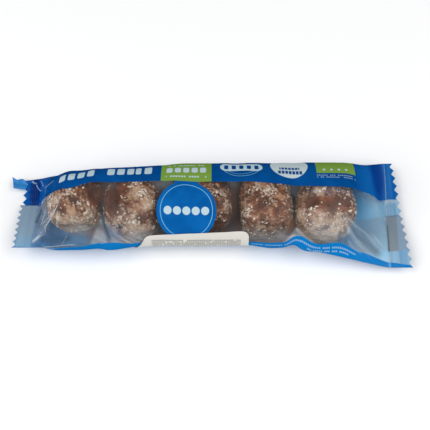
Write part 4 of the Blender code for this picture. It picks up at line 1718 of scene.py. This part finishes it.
# The lining: its blues where it is cloudy, and towards its two ends by X in millimetres, darker
# at the left end and lighter at the right end as painted light
LINING_SCALE = 120.0
LINING_FINE_SCALE = 900.0
LINING_ROUGHNESS = 0.45
LINING_BLUE = srgb(88, 146, 190)
LINING_BLUE_PALE = srgb(112, 164, 202)
LINING_LEFT = (-62.0, 14.0)
LINING_LEFT_BLUE = srgb(40, 108, 168)
LINING_RIGHT = (60.0, 6.0)
LINING_RIGHT_BLUE = srgb(70, 148, 202)
LINING_END = (71.0, 10.0)
LINING_END_BLUE = srgb(146, 202, 232)
LINING_SEAL_SOFT = 0.05
# Painted light and shade of the pleats on the seals' lining: their streaks, dark and lit blue
LINING_PLEATS = (1.6, 26.0, 2.0)
LINING_PLEAT = srgb(100, 148, 184)
LINING_PLEAT_PALE = srgb(136, 176, 202)
# The seam behind it: soft on the body and sharp on the seal, faint and then clearer by X
SEAM_SOFT = 2.0
SEAM_SHARPER = 1.5
SEAM_RIGHT = (68.0, 6.0)
SEAM_FAINT = 0.2
SEAM_CLEARER = 0.4
SEAM_BLUE = srgb(134, 150, 166)
# The seam's grey patch on the right seal. The right root line leans along X by this much for each
# millimetre round the film, and the patch turns from grey to blue at GREY_TO.
ROOT_LEAN = 0.049
GREY_TO = 83.5
GREY = srgb(110, 120, 126)
# The patch's ribs in painted light
GREY_RIB = srgb(122, 132, 138)
GREY_BLUE = srgb(128, 148, 168)
# Painted shade in the crease at the seal's root: its colour, how strongly, its seal depths and
# reach
GREY_ROOT = srgb(50, 50, 54)
GREY_ROOT_SHARE = 0.85
GREY_ROOT_DEPTH = (0.01, 0.09, 0.03)
GREY_ROOT_TO = (77.0, 2.0)
GREY_EDGE = srgb(72, 104, 134)
GREY_EDGE_FROM = (81.3, 0.4)
GREY_EDGE_SHARE = 0.7
PATCH_SHARE = 0.9
# The left seal's grey, by millimetres round the film, and the painted brown shade and bounced
# light by the balls
LEFT_GREY = srgb(134, 154, 172)
LEFT_GREY_ROUND = (61.0, 87.0, 9.0)
LEFT_GREY_SHARE = 0.8
SHADE_BROWN = srgb(168, 112, 78)
SHADE_SHARE = 0.9


def lining_blue(finish, x, around, on_seal):
    """The white backing of the print, which shows through as pale blue inside."""
    blue = finish.blend(finish.grain(LINING_SCALE, *CLOUDY), LINING_BLUE, LINING_BLUE_PALE)
    pleats = finish.over(finish.streaks(x, around, *LINING_PLEATS), 0.5, PLEATS_SOFT)
    return finish.tinted(blue, (
        (finish.under(x, *LINING_LEFT), LINING_LEFT_BLUE),
        # Painted light towards the right end, stronger at the end itself
        (finish.over(x, *LINING_RIGHT), LINING_RIGHT_BLUE),
        (finish.over(x, *LINING_END), LINING_END_BLUE),
        # Painted light and shade of the seals' pleats
        (on_seal, finish.blend(pleats, LINING_PLEAT, LINING_PLEAT_PALE)),
    ))


def seam_grey(finish, x, around, seal):
    """The ribbed grey of the seam's patch on the right seal, with painted shade at the root."""
    root = finish.field(seal, *GREY_ROOT_DEPTH) * finish.under(around, *GREY_ROOT_TO)
    return finish.tinted(finish.blend(rib_share(finish, x), GREY, GREY_RIB), (
        (finish.over(x - around * ROOT_LEAN, GREY_TO, 1.0), GREY_BLUE),
        # Painted shade at the root
        (root * GREY_ROOT_SHARE, GREY_ROOT),
        (finish.over(around, *GREY_EDGE_FROM) * GREY_EDGE_SHARE, GREY_EDGE),
    ))


def lining_material():
    """The inner side of the back's print: pale blue, grey by the seam, painted brown shade by the
    balls.
    """
    finish = Finish("inner side of the print")
    x, around = print_millimetres(finish)
    seal = finish.values("seal")
    on_seal = finish.over(seal, 0.0, LINING_SEAL_SOFT)
    on_right = finish.over(x, 0.0, 1.0)
    seam = finish.field(around, FIN_FROM * PRINT_ROUND, FIN_TO * PRINT_ROUND,
                        SEAM_SOFT - on_seal * SEAM_SHARPER)
    seam_share = SEAM_FAINT + finish.over(x, *SEAM_RIGHT) * SEAM_CLEARER
    patch = seam * finish.over(seal, 0.0, SEAL_SHARP) * on_right
    left_grey = finish.field(around, *LEFT_GREY_ROUND) * on_seal * (1.0 - on_right)
    colour = finish.tinted(lining_blue(finish, x, around, on_seal), (
        (seam * (1.0 - on_seal) * seam_share, SEAM_BLUE),
        (patch * PATCH_SHARE, seam_grey(finish, x, around, seal)),
        (left_grey * LEFT_GREY_SHARE, LEFT_GREY),
        # Painted shade and bounced light by the balls, in brown
        (finish.values("shade") * SHADE_SHARE, SHADE_BROWN),
    ))
    fine = finish.bump(finish.grain(LINING_FINE_SCALE, *CLOUDY), *SLIGHT)
    return finish.done(finish.principled(colour, LINING_ROUGHNESS, fine))


# The looks of the balls and the coconut

PASTE_DARK = srgb(52, 24, 7)
PASTE_BROWN = srgb(122, 64, 26)
PASTE_BROWN_FROM = 0.48
PASTE_BROWN_SOFT = 0.3
PASTE_FINE = (1900.0, 3.0, 0.65)
PASTE_ROUGHNESS = 0.55
PASTE_ROUGHER = 0.25
PASTE_HEIGHT = 0.5 * MM
PASTE_STRENGTH = 0.8
# The scales of the paste's broad patches, spots and specks
BROAD_SCALE = 170.0
SPOT_SCALE = 480.0
SPECK_SCALE = 760.0
# How much paler each makes the paste, and how much darker the hollows make it as painted shade
PALE_BY_POWDER = 0.22
PALE_BY_DUST = 0.34
PALE_BY_PATCH = 0.08
DARK_BY_HOLLOW = 0.7
# Coconut rubbed into the paste: how much it follows the pale places, the value of the noise from
# which it shows, how softly and how strongly, and its colour
RUBBED_SPOTS = (0.6, 0.57, 0.18, 0.55, srgb(182, 144, 112))
RUBBED_BROAD = (1.0, 0.72, 0.34, 0.62, srgb(194, 164, 136))
RUBBED_SPECKS = (0.3, 0.64, 0.14, 0.55, srgb(216, 198, 178))
RUBBED_DUST = (0.0, 0.64, 0.14, 0.2, srgb(190, 170, 152))
# The painted shade in the hollows: its brown and how strongly it covers the paste
HOLLOW_BROWN = srgb(66, 32, 13)
HOLLOW_SHARE = 0.7
# Painted shade at the balls' outline, which reaches further in on their low side. Low down it is
# less dark, and on balls with coconut rubbed in it is pale painted light.
RIM_FROM = 0.74
RIM_SOFT = 0.5
RIM_LOWER = 0.08
RIM_SHARE = 0.8
RIM = srgb(72, 50, 38)
RIM_LOW = srgb(104, 82, 67)
RIM_LOW_LIT = srgb(212, 188, 162)
FLAKE_SCALE = 1600.0
FLAKE_TANNED = srgb(160, 132, 108)
FLAKE_WHITE = srgb(232, 220, 206)
FLAKE_STAINED = srgb(144, 114, 92)
STAIN_FROM = 0.56
STAIN_SOFT = 0.2
STAIN_SHARE = 0.3
FLAKE_ROUGHNESS = 0.6
FLAKE_RELIEF = (0.1 * MM, 0.5)


def rubbed(finish, noisy, pale, following, edge, soft, share, colour):
    """A tint of rubbed-in coconut: how far it covers the paste, and its colour."""
    return finish.over(noisy + pale * following, edge, soft) * share, colour


def paste_material():
    """Date paste: reddish brown, uneven, with pale coconut rubbed into it in soft patches."""
    finish = Finish("date paste")
    broad = finish.grain(BROAD_SCALE, *CLOUDY)
    spots = finish.grain(SPOT_SCALE, *SPOTTED)
    specks = finish.grain(SPECK_SCALE, *SPOTTED)
    fine = finish.grain(*PASTE_FINE)
    powder = finish.values("powder")
    hollow = finish.values("hollow")
    low = finish.values("low")
    pale = powder * PALE_BY_POWDER + finish.values("dust") * PALE_BY_DUST
    pale = pale + finish.values("patch") * PALE_BY_PATCH - hollow * DARK_BY_HOLLOW
    rim = finish.over(finish.facing() + low * RIM_LOWER, RIM_FROM, RIM_SOFT)
    # The outline low down: less dark, and pale painted light where coconut is rubbed in
    low_rim = finish.blend(powder, RIM_LOW, RIM_LOW_LIT)
    brown = finish.over(broad, PASTE_BROWN_FROM, PASTE_BROWN_SOFT)
    colour = finish.tinted(finish.blend(brown, PASTE_DARK, PASTE_BROWN), (
        rubbed(finish, spots, pale, *RUBBED_SPOTS),
        rubbed(finish, broad, pale, *RUBBED_BROAD),
        rubbed(finish, specks, pale, *RUBBED_SPECKS),
        rubbed(finish, fine, pale, *RUBBED_DUST),
        # Painted shade in the hollows
        (hollow * HOLLOW_SHARE, HOLLOW_BROWN),
        # Painted shade at the outline, lighter low down
        (rim * RIM_SHARE, finish.blend(low, RIM, low_rim)),
    ))
    relief = finish.bump(spots * 0.5 + fine * 0.5, PASTE_HEIGHT, PASTE_STRENGTH)
    roughness = PASTE_ROUGHNESS + PASTE_ROUGHER * fine
    return finish.done(finish.principled(colour, roughness, relief))


def coconut_material():
    """Coconut flakes, some white and some tanned, each with finer stains."""
    finish = Finish("coconut")
    fine = finish.grain(FLAKE_SCALE, *SPOTTED)
    colour = finish.blend(finish.values("tone"), FLAKE_TANNED, FLAKE_WHITE)
    stained = finish.over(fine, STAIN_FROM, STAIN_SOFT) * STAIN_SHARE
    colour = finish.blend(stained, colour, FLAKE_STAINED)
    relief = finish.bump(fine, *FLAKE_RELIEF)
    return finish.done(finish.principled(colour, FLAKE_ROUGHNESS, relief))


# The looks of the label, the seam and the folded corner

# The label's rows of dashes, in millimetres from its lower left corner: left, right, the top
# row's middle line and the rows' pitch, and then the dashes as in the tables of the print
LABEL_ROWS = 9
LABEL_ROW_LEFT = 3.5
LABEL_ROW_RIGHT = 43.0
LABEL_TOP_ROW = 12.6
LABEL_ROW_PITCH = 1.15
LABEL_DASHES = (0.86, 0.8, 0.86, 0.10)
LABEL_INK_SHARE = 0.6
PAPER_FIBRE = (700.0, 4.0, 0.7)
PAPER_ROUGHNESS = 0.6
PAPER = srgb(205, 202, 194)
PAPER_PALE = srgb(214, 212, 205)
LABEL_INK = srgb(52, 49, 45)


def label_material():
    """Off-white paper with rows of small dark dashes."""
    finish = Finish("label paper")
    along, up = finish.places("print")
    x = along * (LABEL_RIGHT - LABEL_LEFT) / MM
    height = up * (LABEL_TOP_RIGHT - LABEL_BOTTOM) / MM
    rows = [(LABEL_ROW_LEFT, LABEL_ROW_RIGHT, LABEL_TOP_ROW - row * LABEL_ROW_PITCH, *LABEL_DASHES)
            for row in range(LABEL_ROWS)]
    marks = shapes(dash_row, finish, x, height, rows)
    fibre = finish.grain(*PAPER_FIBRE)
    paper = finish.blend(fibre, PAPER, PAPER_PALE)
    colour = finish.blend(marks * LABEL_INK_SHARE, paper, LABEL_INK)
    return finish.done(finish.principled(colour, PAPER_ROUGHNESS, finish.bump(fibre, *SLIGHT)))


def cloudy_film(name, scale, dark, pale, roughness, specular=SPECULAR):
    """Film in one slightly cloudy blue, with nothing printed on it."""
    finish = Finish(name)
    colour = finish.blend(finish.grain(scale, *CLOUDY), dark, pale)
    fine = finish.bump(finish.grain(CRUMPLE_SCALE, *CLOUDY), *SLIGHT)
    return finish.done(finish.principled(colour, roughness, fine, specular))


def seam_material():
    return cloudy_film("back seam film", 160.0, srgb(60, 130, 190), srgb(96, 150, 196), 0.35)


def flap_material():
    return cloudy_film("folded corner", 250.0, srgb(34, 116, 182), srgb(54, 134, 196), 0.32, 0.2)


# What the balls do to the look of the film and its lining

HAZE_NEAR = 0.004
HAZE_FAR = 0.022
HAZE_REACH = 7.0 * MM
TOUCH_NEAR = 0.6 * MM
TOUCH_SPREAD = 3.0 * MM
# How far off the balls their painted brown shade still reaches on the lining, by X in millimetres
SHADE_REACH = ((-60.0, 3.0), (-50.0, 11.0), (-36.0, 16.0), (28.0, 16.0), (42.0, 12.0),
               (52.0, 3.0), (58.0, 1.0))
# One in so many of the balls' points stands for them in measuring
BALL_POINT_STEP = 4


def distances_to(balls, piece):
    """How far each point of a piece is from the nearest ball."""
    places = np.concatenate([mesh_points(ball.data)[::BALL_POINT_STEP] for ball, _ in balls])
    tree = KDTree(len(places))
    for number, place in enumerate(places.tolist()):
        tree.insert(place, number)
    tree.balance()
    return np.array([tree.find(place)[2] for place in mesh_points(piece.data).tolist()])


def set_haze(film, balls):
    """Film that stands off the balls is milkier than film that touches them, frost apart."""
    apart = distances_to(balls, film)
    set_point_values(film.data, haze=mix(HAZE_NEAR, HAZE_FAR, smooth(apart / HAZE_REACH)),
                     touch=1.0 - smooth((apart - TOUCH_NEAR) / TOUCH_SPREAD))


def set_shade(lining, balls):
    """The lining gets painted brown shade where the balls lie against it, and in the gaps between
    them.
    """
    apart = distances_to(balls, lining)
    reach = along_pack(in_metres(SHADE_REACH), mesh_points(lining.data)[:, 0]) * MM
    set_point_values(lining.data, shade=1.0 - smooth(apart / reach))


# Floor, light and camera

CAMERA_ELEVATION = 62.0
CAMERA_TARGET = Vector((3.35, -4.24, 11.75)) * MM
CAMERA_DISTANCE = 386.3 * MM
CAMERA_LENS = 71.16
CAMERA_SENSOR = 36.0
CAMERA_NEAREST = 0.01
CAMERA_FARTHEST = 10.0
FLOOR_HALF = 2.0
FLOOR_CELLS = 8
FLOOR_SCALE = 3.0
FLOOR_ROUGHNESS = 0.9
FLOOR_GREY = (0.93, 0.93, 0.93, 1.0)
FLOOR_PALE = (0.95, 0.95, 0.95, 1.0)
SKY_COLOUR = (0.97, 0.985, 1.0, 1.0)
SKY_STRENGTH = 0.26
LIGHT_SIZE = 1.2
# Name, place and power of each light
LIGHTS = (
    ("left light", (-0.85, -0.35, 0.95), 14.0),
    ("right light", (0.85, -0.35, 0.95), 12.0),
)


def build_floor():
    """A wide pale floor, which is no part of the pack."""
    builder = bmesh.new()
    bmesh.ops.create_grid(builder, x_segments=FLOOR_CELLS, y_segments=FLOOR_CELLS, size=FLOOR_HALF)
    mesh_data = bpy.data.meshes.new("floor")
    builder.to_mesh(mesh_data)
    builder.free()
    floor = bpy.data.objects.new("floor", mesh_data)
    bpy.context.scene.collection.objects.link(floor)
    finish = Finish("pale floor")
    colour = finish.blend(finish.grain(FLOOR_SCALE, *SPOTTED), FLOOR_GREY, FLOOR_PALE)
    mesh_data.materials.append(finish.done(finish.principled(colour, FLOOR_ROUGHNESS)))


def add_light(name, place, power):
    """A square lamp that shines at the pack."""
    light = bpy.data.lights.new(name, "AREA")
    light.shape = "RECTANGLE"
    light.size = LIGHT_SIZE
    light.size_y = LIGHT_SIZE
    light.energy = power
    lamp = bpy.data.objects.new(name, light)
    bpy.context.scene.collection.objects.link(lamp)
    lamp.location = place
    lamp.rotation_euler = (-Vector(place)).to_track_quat("-Z", "Y").to_euler()


def build_lights():
    """Even light from a pale sky and two large lamps."""
    world = bpy.data.worlds.new("studio")
    bpy.context.scene.world = world
    world.use_nodes = True
    background = world.node_tree.nodes["Background"]
    background.inputs["Color"].default_value = SKY_COLOUR
    background.inputs["Strength"].default_value = SKY_STRENGTH
    for light in LIGHTS:
        add_light(*light)


def build_camera():
    """The photo's view, from above the near side."""
    camera_data = bpy.data.cameras.new("camera")
    camera_data.sensor_width = CAMERA_SENSOR
    camera_data.lens = CAMERA_LENS
    camera_data.clip_start = CAMERA_NEAREST
    camera_data.clip_end = CAMERA_FARTHEST
    camera = bpy.data.objects.new("camera", camera_data)
    bpy.context.scene.collection.objects.link(camera)
    tilt = radians(CAMERA_ELEVATION)
    camera.location = CAMERA_TARGET + Vector((0.0, -cos(tilt), sin(tilt))) * CAMERA_DISTANCE
    camera.rotation_euler = (radians(90.0 - CAMERA_ELEVATION), 0.0, 0.0)
    bpy.context.scene.camera = camera


def build_pack():
    """Every piece of the pack, from the film in to its balls and out to its label."""
    film = build_film(film_material())
    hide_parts("pack")
    lining = build_lining(lining_material())
    tree = film_tree(film)
    paste = paste_material()
    balls = [build_ball(number, tree, paste) for number in range(len(BALLS))]
    build_flakes(balls, tree, coconut_material())
    set_haze(film, balls)
    set_shade(lining, balls)
    build_label(label_material())
    build_fin(seam_material())
    build_flap(flap_material())


bpy.context.scene.view_settings.view_transform = "Standard"
build_floor()
build_lights()
build_camera()
build_pack()
